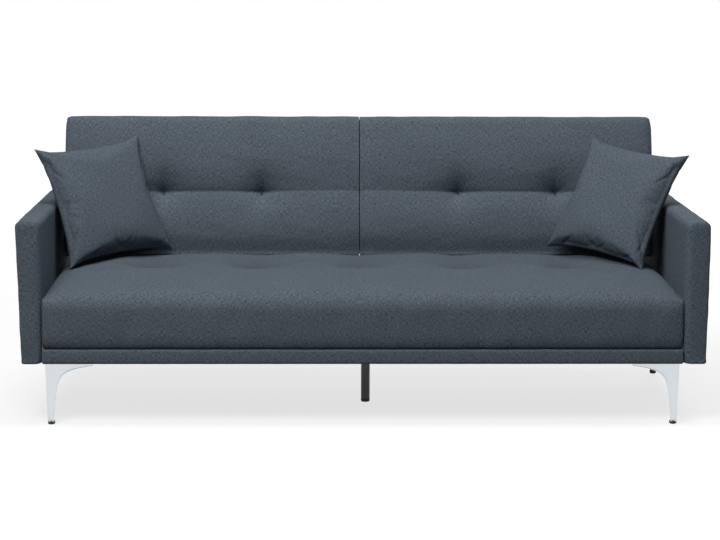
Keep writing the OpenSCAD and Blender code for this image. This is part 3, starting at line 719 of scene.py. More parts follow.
@dataclass(frozen=True)
class ClothFinish(Finish):
    """Woven cloth on the piece's own thread map, or on object places where it has none."""

    dark: Colour = (0, 0, 0)
    light: Colour = (255, 255, 255)
    threads: float = 700.0
    contrast: float = 3.0
    sheen: float = 0.2
    relief: float = 0.00035
    mapped: bool = True

    def material(self, effects: Effects) -> bpy.types.Material:
        """Builds the material from the shared weave.

        Args:
            effects: The shared node groups.

        Returns:
            The material.
        """
        material, tree, shader, place = self.shell({
            "Sheen Weight": self.sheen, "Sheen Roughness": 0.45, "Sheen Tint": rgba(self.light),
            "Specular IOR Level": 0.06,
        })
        # The folds attribute brings painted shade and highlight into the weave's colour.
        weave = tree.put("Group", {
            "Vector": place.outputs["UV" if self.mapped else "Object"],
            "Folds": tree.put("Attribute", attribute_name="folds").outputs["Fac"],
            "Threads": self.threads, "Dark": rgba(self.dark), "Light": rgba(self.light),
            "Contrast": self.contrast,
        }, node_tree=effects.weave)
        self.join(tree, shader, weave, 0.8, self.relief)
        return material


@dataclass(frozen=True)
class WoodFinish(Finish):
    """Sawn or planed wood with its grain along x or y."""

    dark: Colour = (150, 110, 70)
    light: Colour = (205, 170, 120)
    along_y: bool = False

    def material(self, effects: Effects) -> bpy.types.Material:
        """Builds the material from the shared grain.

        Args:
            effects: The shared node groups.

        Returns:
            The material.
        """
        material, tree, shader, place = self.shell({})
        turn = (0.0, 0.0, math.pi / 2 if self.along_y else 0.0)
        vector = tree.put("Mapping", {"Vector": place.outputs["Object"], "Rotation": turn})
        grain = tree.put("Group", {"Vector": vector.outputs[0], "Dark": rgba(self.dark),
                                   "Light": rgba(self.light)}, node_tree=effects.grain)
        self.join(tree, shader, grain, 0.35, 0.0004)
        return material


@dataclass(frozen=True)
class MetalFinish(Finish):
    """Plated, painted or bare steel with handling marks."""

    colour: Colour = (200, 205, 210)
    bright: float = 0.25
    dull: float = 0.4
    metallic: float = 1.0
    coat: float = 0.0
    relief: float = 0.00004

    def material(self, effects: Effects) -> bpy.types.Material:
        """Builds the material from the shared handling marks.

        Args:
            effects: The shared node groups.

        Returns:
            The material.
        """
        material, tree, shader, place = self.shell({
            "Metallic": self.metallic, "Coat Weight": self.coat, "Coat Roughness": 0.12})
        marks = tree.put("Group", {
            "Vector": place.outputs["Object"], "Color": rgba(self.colour), "Bright": self.bright,
            "Dull": self.dull,
        }, node_tree=effects.scuff)
        self.join(tree, shader, marks, 0.15, self.relief)
        return material


@dataclass(frozen=True)
class GrainyFinish(Finish):
    """Foam, felt, rubber or moulded plastic with cells of one size."""

    colour: Colour = (40, 40, 42)
    cells: float = 900.0
    mottle: float = 0.12
    relief: float = 0.0004
    sheen: float = 0.0

    def material(self, effects: Effects) -> bpy.types.Material:
        """Builds the material from the shared pores.

        Args:
            effects: The shared node groups.

        Returns:
            The material.
        """
        material, tree, shader, place = self.shell({"Sheen Weight": self.sheen})
        pores = tree.put("Group", {
            "Vector": place.outputs["Object"], "Color": rgba(self.colour), "Cells": self.cells,
            "Mottle": self.mottle,
        }, node_tree=effects.pores)
        self.join(tree, shader, pores, 0.5, self.relief)
        return material


@dataclass(frozen=True)
class Finishes:
    """Every finish on the sofa bed."""

    upholstery: ClothFinish = ClothFinish(
        "heathered_upholstery", "upholstery", (36, 42, 49), (124, 137, 149), 900.0, 3.2, 0.12)
    cushion: ClothFinish = ClothFinish(
        "heathered_cushion_cloth", "upholstery", (34, 40, 47), (122, 135, 147), 960.0, 3.0, 0.12)
    thread: ClothFinish = ClothFinish(
        "sewing_thread", "upholstery", (30, 36, 42), (78, 88, 98), 2500.0, 1.5, 0.1, 0.0001)
    lining: ClothFinish = ClothFinish(
        "dust_cloth", "dust_cloth", (18, 18, 20), (44, 45, 48), 900.0, 2.0, 0.05, 0.0002)
    cord: ClothFinish = ClothFinish(
        "waxed_cord", "tuft_cord", (34, 40, 46), (92, 102, 112), 1500.0, 2.0, 0.1, 0.0003,
        False)
    foam: GrainyFinish = GrainyFinish("seat_foam_cells", "foam", (226, 214, 172), 1400.0, 0.16)
    filling: GrainyFinish = GrainyFinish(
        "fibre_filling", "pillow_filling", (236, 236, 232), 500.0, 0.1, 0.0012, 0.3)
    felt: GrainyFinish = GrainyFinish("needled_felt", "felt", (132, 133, 128), 1100.0, 0.3, 0.0006)
    rubber: GrainyFinish = GrainyFinish("buffer_rubber", "black_rubber", (30, 30, 31), 1800.0)
    plastic: GrainyFinish = GrainyFinish("moulded_plastic", "black_plastic", (40, 41, 43), 2400.0,
                                         0.08, 0.00015)
    beech: WoodFinish = WoodFinish("frame_beech", "frame_wood", (158, 118, 76), (208, 172, 124))
    beech_deep: WoodFinish = WoodFinish(
        "frame_beech_lengthwise", "frame_wood", (158, 118, 76), (208, 172, 124), True)
    slat: WoodFinish = WoodFinish("sprung_birch", "slat_wood", (190, 158, 112), (226, 198, 152), True)
    ply: WoodFinish = WoodFinish("panel_ply", "plywood", (152, 112, 72), (198, 158, 108))
    chrome: MetalFinish = MetalFinish("satin_chrome", "leg_chrome", (216, 221, 226), 0.24, 0.34)
    enamel: MetalFinish = MetalFinish("black_enamel", "black_enamel", (17, 18, 19), 0.25, 0.4,
                                      0.0, 0.12)
    hinge: MetalFinish = MetalFinish("pressed_steel", "hinge_steel", (158, 160, 162), 0.35, 0.55)
    spring: MetalFinish = MetalFinish("spring_wire", "spring_steel", (120, 122, 126), 0.25, 0.4)
    zinc: MetalFinish = MetalFinish("zinc_plate", "fastener_zinc", (190, 192, 188), 0.3, 0.5)


FINISHES = Finishes()


def linked(name: str, data: bpy.types.ID) -> bpy.types.Object:
    """New object in the scene.

    Args:
        name: Name of the object.
        data: Its mesh, lamp or camera.

    Returns:
        The object.
    """
    thing = bpy.data.objects.new(name, data)
    bpy.context.scene.collection.objects.link(thing)
    return thing


class Bench:
    """Turns skins into finished objects and hangs them on the frame's bodies."""

    def __init__(self) -> None:
        self.effects = Effects()
        self.made: dict[str, bpy.types.Material] = {}

    def material(self, finish: Finish) -> bpy.types.Material:
        """Material of a finish, built the first time it is asked for."""
        if finish.name not in self.made:
            self.made[finish.name] = finish.material(self.effects)
        return self.made[finish.name]

    def mesh(self, name: str, skin: Surface) -> bpy.types.Mesh:
        """Puts a skin's arrays into a mesh, with its thread map.

        The map lays the two plain axes across each face's own direction, in metres.

        Args:
            name: Name of the mesh.
            skin: The skin.

        Returns:
            The mesh, smooth all over.
        """
        loops = np.concatenate([skin.quads.reshape(-1), skin.threes.reshape(-1)])
        sizes = np.concatenate([np.full(len(skin.quads), 4), np.full(len(skin.threes), 3)])
        starts = np.concatenate([[0], np.cumsum(sizes)[:-1]])
        mesh = bpy.data.meshes.new(name)
        mesh.vertices.add(len(skin.points))
        mesh.vertices.foreach_set("co", skin.points.astype(np.float32).reshape(-1))
        mesh.loops.add(len(loops))
        mesh.loops.foreach_set("vertex_index", loops.astype(np.int32))
        mesh.polygons.add(len(sizes))
        mesh.polygons.foreach_set("loop_start", starts.astype(np.int32))
        mesh.polygons.foreach_set("use_smooth", np.ones(len(sizes), bool))
        mesh.update(calc_edges=True)
        plain = skin.points if skin.plain is None else skin.plain
        a = plain[loops[starts]]
        b = plain[loops[starts + 1]]
        c = plain[loops[starts + 2]]
        d = plain[loops[starts + sizes - 1]]
        facing = np.abs(np.cross(c - a, d - b))
        main = np.repeat(facing.argmax(1), sizes)
        corner = plain[loops]
        first = np.where(main == 0, corner[:, 1], corner[:, 0])
        second = np.where(main == 2, corner[:, 1], corner[:, 2])
        threads = mesh.uv_layers.new(name="threads")
        threads.data.foreach_set("uv", np.stack([first, second], -1).astype(np.float32).reshape(-1))
        # The folds attribute carries painted shade and highlight to the cloth's colour.
        marks = mesh.attributes.new("folds", "FLOAT", "POINT")
        folds = np.zeros(len(skin.points)) if skin.folds is None else skin.folds
        marks.data.foreach_set("value", folds.astype(np.float32))
        return mesh

    def piece(self, name: str, skin: Surface, finish: Finish, body: str,
              stands_for: tuple[str, ...] = ()) -> bpy.types.Object:
        """Makes a finished piece.

        Args:
            name: Name of the piece.
            skin: Its closed skin, in the frame.
            finish: Its finish.
            body: The body it moves with.
            stands_for: The frame's nodes it replaces.

        Returns:
            The piece.
        """
        thing = linked(name, self.mesh(name, skin))
        thing.data.materials.append(self.material(finish))
        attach(thing, body)
        if stands_for:
            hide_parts(*stands_for)
        LOG.info("%s: %d corners, finish %s, on %s", name, len(skin.points), finish.name, body)
        return thing

    def dress(self, finish: Finish, *nodes: str) -> None:
        """Gives the frame's own nodes a finish.

        Args:
            finish: The finish.
            *nodes: Names of the nodes.
        """
        material = self.material(finish)
        for name in nodes:
            data = frame["nodes"][name].data
            data.materials.clear()
            data.materials.append(material)
            LOG.info("%s: finish %s", name, finish.name)


def box(node: str) -> tuple[Array, Array]:
    """Lowest and highest corner of a frame's node as arrays."""
    low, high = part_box(node)
    return np.array(low), np.array(high)


def joint_place(name: str) -> Array:
    """Point that a joint turns about."""
    return np.array(next(j["pos_m"] for j in frame["joints"] if j["name"] == name))


def as_cloth(name: str, skin: Surface, pressure: float, frames: int) -> Array:
    """Blows a closed skin up as cloth, without gravity.

    Args:
        name: Name of the cloth while it is being made.
        skin: The skin to start from.
        pressure: Pressure inside it.
        frames: Steps that the cloth is given.

    Returns:
        The skin's points at the last step.
    """
    mesh = bpy.data.meshes.new(name)
    faces = skin.quads.tolist() + skin.threes.tolist()
    mesh.from_pydata(skin.points.tolist(), [], faces)
    cloth = linked(name, mesh)
    scene = bpy.context.scene
    maker = cloth.modifiers.new("cloth", "CLOTH")
    for key, value in PILLOW_CLOTH.items():
        setattr(maker.settings, key, value)
    maker.settings.uniform_pressure_force = pressure
    maker.settings.effector_weights.gravity = 0.0
    maker.collision_settings.use_collision = False
    maker.point_cache.frame_start, maker.point_cache.frame_end = 1, frames
    for step in range(1, frames + 1):
        scene.frame_set(step)
    done = cloth.evaluated_get(bpy.context.evaluated_depsgraph_get()).to_mesh()
    points = np.empty(len(done.vertices) * 3, np.float32)
    done.vertices.foreach_get("co", points)
    scene.frame_set(1)
    bpy.data.objects.remove(cloth)
    bpy.data.meshes.remove(mesh)
    LOG.info("%s: %d points through %d steps", name, len(points) // 3, frames)
    return points.reshape(-1, 3).astype(float)


# ---------- seat ----------


@dataclass
class Seat:
    """Seat pad with its row of blind tufts, the foam in it and the felt under it."""

    roll: float = 0.058
    roll_sweep: float = 76.0
    front_fall: float = 0.034
    side_top: float = 0.368
    side_strip: float = 0.220
    rear_round: float = 0.014
    end_round: float = 0.010
    lip_pull: float = 0.0035
    tuft_reach: float = 0.062
    tuft_depth: float = 0.032
    trough: float = 0.0055
    crease: float = 0.011
    crease_ahead: float = 0.012
    lip_ahead: float = 0.046
    valley: float = 0.005
    slack: float = 0.0009
    seam_drop: float = 0.0038
    slat_step: float = 0.154
    foam_inset: float = 0.0035
    stations: int = 330
    round_points: int = 210

    def tufts(self) -> Array:
        """Places (x, y) of the tufts: the middles of the ties, which stand in one row."""
        low, high = box("seat_tuft_ties")
        radius = (high[1] - low[1]) / 2
        return np.stack([np.linspace(low[0] + radius, high[0] - radius, 5),
                         np.full(5, (low[1] + high[1]) / 2)], -1)

    def outline(self, inset: float) -> Array:
        """Closed outline in (y, z): front, roll, crowned top, rear edge, then the steps below.

        The roll is an arc, and the top rises from it as front_fall * (1 - s)^2 short of the
        sleeping height until the middle.

        Args:
            inset: How far it is drawn in.

        Returns:
            Points as (points, 2).
        """
        low, high = box("seat_cover")
        felt_top = box("deck_pad")[1][2]
        rail_rear, seam = box("front_border")[1][1:] - np.array([0.0, self.seam_drop])
        hinge_rail = box("hinge_rail")
        front, rear, top = low[1] + inset, high[1] - inset, high[2] - inset
        roll_y, roll_z = front + self.roll, top - self.front_fall - self.roll
        turn = np.radians(180 - np.linspace(0, self.roll_sweep, 12))
        arc = np.stack([roll_y + self.roll * np.cos(turn), roll_z + self.roll * np.sin(turn)], -1)
        s = np.linspace(0, 1, 20)[1:]
        crown_y = roll_y + (rear - roll_y) / 2
        rise = np.stack([roll_y + (crown_y - roll_y) * s, top - self.front_fall * (1 - s) ** 2], -1)
        turn = np.radians(90 - np.linspace(0, 90, 7))
        edge = np.stack([rear - self.rear_round * (1 - np.cos(turn)),
                         top - self.rear_round * (1 - np.sin(turn))], -1)
        below = np.array([
            [rear, hinge_rail[1][2] + inset], [hinge_rail[0][1] + inset, hinge_rail[1][2] + inset],
            [hinge_rail[0][1] + inset, felt_top + inset], [rail_rear + inset, felt_top + inset],
            [rail_rear + inset, seam + 4 * inset], [front, seam + 4 * inset],
        ])
        return np.concatenate([arc, rise, edge, below])

    def skin(self, inset: float) -> Surface:
        """Closed pad: the outline carried across, sinking to the sides, tufted and drawn in.

        Args:
            inset: How far it is drawn in.

        Returns:
            The pad's skin.
        """
        low, high = box("seat_cover")
        felt_top = box("deck_pad")[1][2]
        line = self.outline(inset)
        ring = spaced(line, self.round_points, 1 + 1.6 * (line[:, 1] > low[2] + 0.05))
        for _ in range(2):
            ring = (np.roll(ring, 1, 0) + 2 * ring + np.roll(ring, -1, 0)) / 4
        x, shrink = round_stations(low[0] + inset, high[0] - inset, self.end_round,
                                   self.end_round, self.stations)
        rings = swept(x, drawn_in(ring, shrink))
        across, deep, up = (rings[..., k].copy() for k in range(3))
        from_end = high[0] - np.abs(across)
        beside = np.clip((self.side_strip - from_end) / self.side_strip, 0, 1)
        share = 0.42 * beside**1.5 + 0.54 * beside**10
        sink, folds = self.tufted(across, deep)
        soft = 0.0009 * ripple(across, deep, 0.16, 11) + 0.0004 * ripple(across, deep, 0.05, 12)
        row = bell(deep - self.tufts()[0, 1], 0.05) * smoothstep(0.10, 0.30, from_end)
        rear_edge = 0.003 * bell(deep - high[1], 0.03)
        sink = sink + self.valley * row + rear_edge + self.slack - soft
        rings[..., 2] -= (share * np.clip(up - self.side_top + inset, 0, 1)
                          + sink * smoothstep(felt_top - 0.03, high[2] - 0.03, up))
        pull = self.front_pull(across, up)
        rings[..., 1] += pull * smoothstep(low[1] + 0.10, low[1] + 0.01, deep)
        # Painted shade and highlight of the tufts, kept to the top of the pad.
        on_top = smoothstep(high[2] - 0.08, high[2] - 0.04, up)
        return loft(rings, folds=np.clip(folds, -1, 1) * on_top)

    def tufted(self, across: Array, deep: Array) -> tuple[Array, Array]:
        """Depth and fold values that the tufts give the top.

        A trough widens behind each tuft, and a V-shaped crease runs in front of it. Fold values
        are painted shade behind the crease's lip, fading rearwards, and a painted highlight along the
        lip.

        Args:
            across: Places across.
            deep: Places from front to rear.

        Returns:
            Depth below the plain top, and fold values of painted shade and highlight.
        """
        sink, folds = np.zeros_like(across), np.zeros_like(across)
        for number, (tuft_x, tuft_y) in enumerate(self.tufts()):
            da, db = across - tuft_x, deep - tuft_y
            aside = np.abs(da)
            long = db * np.where(db > 0, 0.62, 1.2)
            sink += tuft_pull(da, long, self.tuft_reach, self.tuft_depth, 7, number * 1.3)
            sink += self.trough * bell(da, 0.045 + 0.12 * np.abs(db)) * smoothstep(0.0, 0.09, db)
            crease = db + self.crease_ahead - 0.30 * aside
            slope = np.where(crease > 0, 0.045, 0.018)
            sink += self.crease * np.exp(-aside / 0.05) * np.exp(-np.abs(crease) / slope)
            lip = db + self.lip_ahead - 0.55 * aside
            spread_out = np.exp(-aside / 0.050)
            fade = np.exp(-np.clip(lip, 0, 1) / 0.10)
            # Painted shade behind each crease's lip, fading rearwards.
            folds += 1.5 * spread_out * smoothstep(-0.004, 0.010, lip) * fade
            # Painted highlight along the lip.
            folds -= 0.8 * spread_out * bell(lip + 0.012, 0.014)
        return sink, folds

    def front_pull(self, across: Array, up: Array) -> Array:
        """How far the front face lies behind its box: drawn in at the seam and at both ends.

        Args:
            across: Places across.
            up: Heights.

        Returns:
            Distance towards the rear.
        """
        low, high = box("seat_cover")
        over_seam = up - low[2]
        seam = self.lip_pull * bell(over_seam, 0.020)
        corner = 0.004 * bell(high[0] - np.abs(across), 0.016)
        hollow = 0.0008 * ripple(across, up, 0.09, 13)
        tension = 0.0009 * bell(over_seam, 0.03) * ripple(across, up * 0.2, 0.035, 14)
        return seam + corner + self.slack + hollow + tension

    def felt(self) -> Surface:
        """Felt layer on the slats: a slab with soft edges that sags a little between them."""
        low, high = box("deck_pad")
        x, y, edge = spread(low[:2], high[:2], 121, 41)
        sag = 0.0008 * np.sin(2 * math.pi * x / self.slat_step) ** 2
        sag += 0.0002 * ripple(x, y, 0.05, 21)
        thin = 0.0012 * bell(edge, 0.004)
        under = np.stack([x, y, low[2] + 0.0003 + thin], -1)
        over = np.stack([x, y, high[2] - 0.0002 - thin - 0.5 * sag], -1)
        return thick_sheet(over, under)

    def build(self, bench: Bench) -> None:
        """Makes the cover, the foam and the felt, and dresses what holds them.

        Args:
            bench: Where the pieces are made.
        """
        bench.piece("seat_upholstery", self.skin(0.0), FINISHES.upholstery, "base",
                    ("seat_cover",))
        bench.piece("seat_foam_block", self.skin(self.foam_inset), FINISHES.foam, "base",
                    ("seat_foam",))
        bench.piece("felt_layer", self.felt(), FINISHES.felt, "base", ("deck_pad",))
        bench.dress(FINISHES.cord, "seat_tuft_ties")
        bench.dress(FINISHES.slat, "seat_slats")
        bench.dress(FINISHES.plastic, "slat_holders")


# ---------- cloth over the rails ----------


@dataclass
class RailCloth:
    """Border band along the front, cloth over the rear rail, dust cloth underneath."""

    band_round: float = 0.0055
    stations: int = 300

    def band(self) -> Surface:
        """Border band: a rounded strip whose face is crowned and tugged a little unevenly."""
        low, high = box("front_border")
        r = self.band_round
        outline = rounded_outline([
            (low[1], low[2], r * 1.4), (high[1], low[2], 0.001),
            (high[1], high[2], 0.001), (low[1], high[2], r),
        ])
        ring = spaced(outline, 72)
        x, shrink = round_stations(low[0], high[0], 0.004, 0.004, self.stations, 5)
        rings = swept(x, drawn_in(ring, shrink))
        face = smoothstep(high[1], low[1], rings[..., 1])
        tug = ripple(rings[..., 0], rings[..., 2] * 0.3, 0.06, 31)
        middle = (low[2] + high[2]) / 2
        belly = 1 - np.square((rings[..., 2] - middle) / (high[2] - middle))
        rings[..., 1] += face * (0.0022 - 0.0016 * np.clip(belly, 0, 1) + 0.0005 * tug)
        top = smoothstep(middle, high[2], rings[..., 2])
        lift = ripple(rings[..., 0], np.zeros_like(tug), 0.07, 32)
        rings[..., 2] += 0.0005 * top * lift * face
        return loft(rings, cap=4)

    def rear(self) -> Surface:
        """Cloth over the rear rail: a thin sheet pulled tight, with its edges turned under."""
        low, high = box("rear_rail_cover")
        x, z, edge = spread(low[[0, 2]], high[[0, 2]], 221, 29)
        soft = 0.0003 * ripple(x, z, 0.08, 33) + 0.0012 * bell(edge, 0.003)
        outer = np.stack([x, high[1] - 0.0004 - soft, z], -1)
        inner = np.stack([x, np.full_like(x, low[1] + 0.0002), z], -1)
        return thick_sheet(outer, inner)

    def under(self) -> Surface:
        """Dust cloth: a thin sheet stapled to the rails' undersides, hanging slack by a hair."""
        low, high = box("dust_cover")
        x, y, edge = spread(low[:2], high[:2], 161, 71)
        slack = 0.0003 * (1 + ripple(x, y, 0.14, 34)) * smoothstep(0.02, 0.08, edge)
        lower = np.stack([x, y, low[2] + 0.0001 + 0.3 * slack], -1)
        upper = np.stack([x, y, high[2] - 0.0001 - 0.1 * slack], -1)
        return thick_sheet(lower, upper)

    def build(self, bench: Bench) -> None:
        """Makes the three pieces.

        Args:
            bench: Where the pieces are made.
        """
        bench.piece("border_band", self.band(), FINISHES.upholstery, "base", ("front_border",))
        rear = bench.piece("rear_panel_cloth", self.rear(), FINISHES.upholstery, "base",
                           ("rear_rail_cover",))
        under = bench.piece("dust_cloth_panel", self.under(), FINISHES.lining, "base",
                            ("dust_cover",))


# ---------- arms ----------


@dataclass
class Arm:
    """One slab arm: padded board in a tight cover, rounder inside than outside."""

    side: Side
    taper: float
    inner_round: float = 0.026
    outer_round: float = 0.007
    top_across: float = 0.020
    top_along: float = 0.008
    foot_round: float = 0.007
    slack: float = 0.0013
    inner_out: float = 0.0006
    seam_in: float = 0.009
    seam_depth: float = 0.0016
    padding_inset: float = 0.0035
    levels: int = 90
    round_points: int = 300

    def skin(self, inset: float, grooves: float) -> Surface:
        """Closed slab: a plan with four rounded corners carried up and drawn in at the top.

        At the angle a of the top edge's quarter ellipse, the plan is drawn in by
        top_across * (1 - cos a) across and top_along * (1 - cos a) along, and lies
        top_across * (1 - sin a) below the top. The outer face leans in towards the foot, and
        the inner face lies straight on the board.

        Args:
            inset: How far it is drawn in.
            grooves: Share of the seams' depth.

        Returns:
            The slab's skin.
        """
        low, high = box(f"{self.side.word}_arm_cover")
        low, high = low + inset, high - inset
        sign = self.side.value
        inner = low[0] if sign > 0 else high[0]
        outer = high[0] if sign > 0 else low[0]
        corners = [
            (inner, low[1], self.inner_round), (outer, low[1], self.outer_round),
            (outer, high[1], self.outer_round), (inner, high[1], self.inner_round),
        ]
        plan = spaced(rounded_outline(corners, 14), self.round_points)
        turn = np.linspace(0, math.pi / 2, 12)
        foot_turn = np.linspace(0, math.pi / 2, 6)
        up = np.concatenate([
            low[2] + self.foot_round * (1 - np.cos(foot_turn)),
            np.linspace(low[2] + self.foot_round, high[2] - self.top_across, self.levels + 2)[1:-1],
            high[2] - self.top_across * (1 - np.sin(turn)),
        ])
        foot_in = self.foot_round * (1 - np.sin(foot_turn))
        top_in = 1 - np.cos(turn)
        straight = np.zeros(self.levels)
        across = np.concatenate([foot_in, straight, self.top_across * top_in])
        along = np.concatenate([foot_in, straight, self.top_along * top_in])
        middle = (low[:2] + high[:2]) / 2
        half = (high[:2] - low[:2]) / 2
        share = 1 - np.stack([across, along], -1)[:, None, :] / half
        flat = middle + (plan - middle)[None] * share
        level = np.broadcast_to(up[:, None, None], flat.shape[:2] + (1,))
        rings = np.concatenate([flat, level], -1)
        out = ring_normals(rings)
        x, y, z = (rings[..., k].copy() for k in range(3))
        soft = 0.0006 * ripple(y, z, 0.2, 41 + sign) + 0.0003 * ripple(y + x, z, 0.05, 43 + sign)
        free = smoothstep(0.7, 0.2, -sign * out[..., 0])
        loose = self.slack + soft + grooves * self.seams(x, y, z, outer)
        slack = loose * free - self.inner_out * (1 - free)
        rings = rings - out * (slack * smoothstep(low[2], low[2] + 0.02, z))[..., None]
        share_out = np.clip((x - inner) / (outer - inner), 0, 1)
        down = np.clip((high[2] - z) / (high[2] - low[2]), 0, 1)
        rings[..., 0] -= sign * self.taper * share_out * down
        return loft(rings, dome=0.0005, cap=10)

    def seams(self, x: Array, y: Array, z: Array, outer: float) -> Array:
        """Depth of the seam between the outer panel and the strip round the front, top and rear.

        Args:
            x: Places across.
            y: Places along.
            z: Heights.
            outer: Place of the arm's outer face.

        Returns:
            Depth of the groove.
        """
        low, high = box(f"{self.side.word}_arm_cover")
        from_face = np.abs(x - outer)
        edge = np.minimum(np.minimum(y - low[1], high[1] - y), high[2] - z)
        rim = smoothstep(0.02, 0.0, edge)
        return self.seam_depth * bell(from_face - self.seam_in, 0.0022) * rim

    def build(self, bench: Bench) -> None:
        """Makes the cover and the padding, and dresses the board in them.

        Args:
            bench: Where the pieces are made.
        """
        word = self.side.word
        bench.piece(f"{word}_arm_upholstery", self.skin(0.0, 1.0), FINISHES.upholstery, "base",
                    (f"{word}_arm_cover",))
        bench.piece(f"{word}_arm_wadding", self.skin(self.padding_inset, 0.0), FINISHES.foam, "base",
                    (f"{word}_arm_padding",))
        bench.dress(FINISHES.beech_deep, f"{word}_arm_frame")


# ---------- back ----------


@dataclass
class BackHalf:
    """One half of the back: a tufted pad that leans about the hinge line."""

    side: Side
    lean: float = 13.0
    front: float = -0.030
    thick: float = 0.125
    clear: float = 0.026
    long: float = 0.430
    split_half: float = 0.0010
    skirt: float = 0.014
    top_round: float = 0.024
    rear_round: float = 0.007
    split_round: float = 0.002
    outer_round: float = 0.005
    tuft_up: float = 0.187
    tuft_reach: float = 0.055
    tuft_depth: float = 0.027
    crease_depth: float = 0.0095
    belly_up: float = 0.018
    belly_down: float = 0.015
    slack: float = 0.0010
    seam_in: float = 0.020
    seam_depth: float = 0.0012
    rear_out: float = 0.0010
    buffer_give: float = 0.0008
    foam_inset: float = 0.0035
    stations: int = 200
    round_points: int = 230

    def place(self) -> Matrix:
        """From the half's upright axes about the hinge line to the frame."""
        pivot = joint_place(f"{self.side.word}_back_recline")
        return Matrix.Translation(pivot) @ Matrix.Rotation(math.radians(-self.lean), 4, "X")

    def ends(self) -> tuple[float, float]:
        """Places of the split end and the outer end, both measured away from the middle."""
        low, high = box(f"{self.side.word}_back_cover")
        return self.split_half, float(max(abs(low[0]), abs(high[0])))

    def tufts(self) -> Array:
        """Places (x, z) of the two tufts, at the thirds of the half's width."""
        start, end = self.ends()
        across = start + (end - start) * np.array([1 / 3, 2 / 3])
        return np.stack([across, np.full(2, self.clear + self.tuft_up)], -1)

    def face_pull(self, x: Array, z: Array) -> Array:
        """How far the front face lies behind its highest plane.

        Two long bellies, one above and one below the tufts, meet in a crease that is deep
        between the tufts and fades outside them; each tuft adds its own pull.

        Args:
            x: Places across.
            z: Places along the back.

        Returns:
            Depth behind the plane.
        """
        tufts = self.tufts()
        start, end = self.ends()
        top = self.clear + self.long
        level = tufts[0, 1]
        beyond = np.maximum(np.maximum(tufts[0, 0] - x, x - tufts[1, 0]), 0)
        between = np.clip((x - tufts[0, 0]) / (tufts[1, 0] - tufts[0, 0]), 0, 1)
        strength = (1 - 0.28 * np.sin(math.pi * between)) * np.exp(-beyond / 0.085)
        gap = z - level
        crease = np.exp(-np.abs(gap) / np.where(gap > 0, 0.050, 0.034))
        depth = self.crease_depth * strength * crease
        line = 0.0016 * strength * bell(gap, 0.006)
        upper = np.clip((z - level) / (top - level), 0, 1)
        lower = np.clip((level - z) / (level - self.clear), 0, 1)
        belly = np.where(gap > 0, self.belly_up * np.square(1.8 * upper - 0.8),
                         self.belly_down * np.square(1.8 * lower - 0.8))
        sides = 0.006 * (bell(x - start, 0.030) + bell(end - x, 0.035))
        sides += 0.008 * bell(end - x, 0.010)
        foot = 0.007 * bell(z - self.clear, 0.035)
        for number, (tuft_x, tuft_z) in enumerate(tufts):
            depth = depth + tuft_pull(x - tuft_x, z - tuft_z, self.tuft_reach, self.tuft_depth,
                                      6, 0.8 + number * 2.1)
        return depth + line + belly + sides + foot

    def face_folds(self, x: Array, z: Array) -> Array:
        """Fold values of the front face: painted shade above the crease and in the tufts, a painted
        highlight below.

        Args:
            x: Places across.
            z: Places along the back.

        Returns:
            Fold value of each place.
        """
        tufts = self.tufts()
        folds = np.zeros_like(x)
        for tuft_x, tuft_z in tufts:
            da, gap = x - tuft_x, z - tuft_z
            above = smoothstep(-0.004, 0.006, gap) * np.exp(-np.clip(gap, 0, 1) / 0.045)
            below = smoothstep(0.002, -0.008, gap) * np.exp(-np.clip(-gap, 0, 1) / 0.040)
            # Painted shade above each tuft and a painted highlight below it.
            folds += 1.3 * above * np.exp(-np.abs(da) / 0.034)
            folds -= 0.35 * below * np.exp(-np.abs(da) / 0.030)
        beyond = np.maximum(np.maximum(tufts[0, 0] - x, x - tufts[1, 0]), 0)
        gap = z - tufts[0, 1]
        # Painted shade along the crease between and beside the tufts.
        line = smoothstep(-0.003, 0.004, gap) * np.exp(-np.clip(gap, 0, 1) / 0.030)
        return np.clip(folds + 0.30 * line * np.exp(-beyond / 0.08), -1, 1)

    def near_buffer(self, x: Array, z: Array) -> Array:
        """How near a place on the rear face comes to a rest buffer when the half lies flat.

        Args:
            x: Places across.
            z: Places along the back.

        Returns:
            Share from 0, away from the buffers, to 1 on them.
        """
        low, high = box("rest_buffers")
        radius = (high[1] - low[1]) / 2
        far = high[0] - radius
        level = (low[1] + high[1]) / 2 - joint_place(f"{self.side.word}_back_recline")[1]
        near = far / 3
        away = np.minimum(np.hypot(x - near, z - level), np.hypot(x - far, z - level))
        return smoothstep(0.030, radius + 0.003, away)

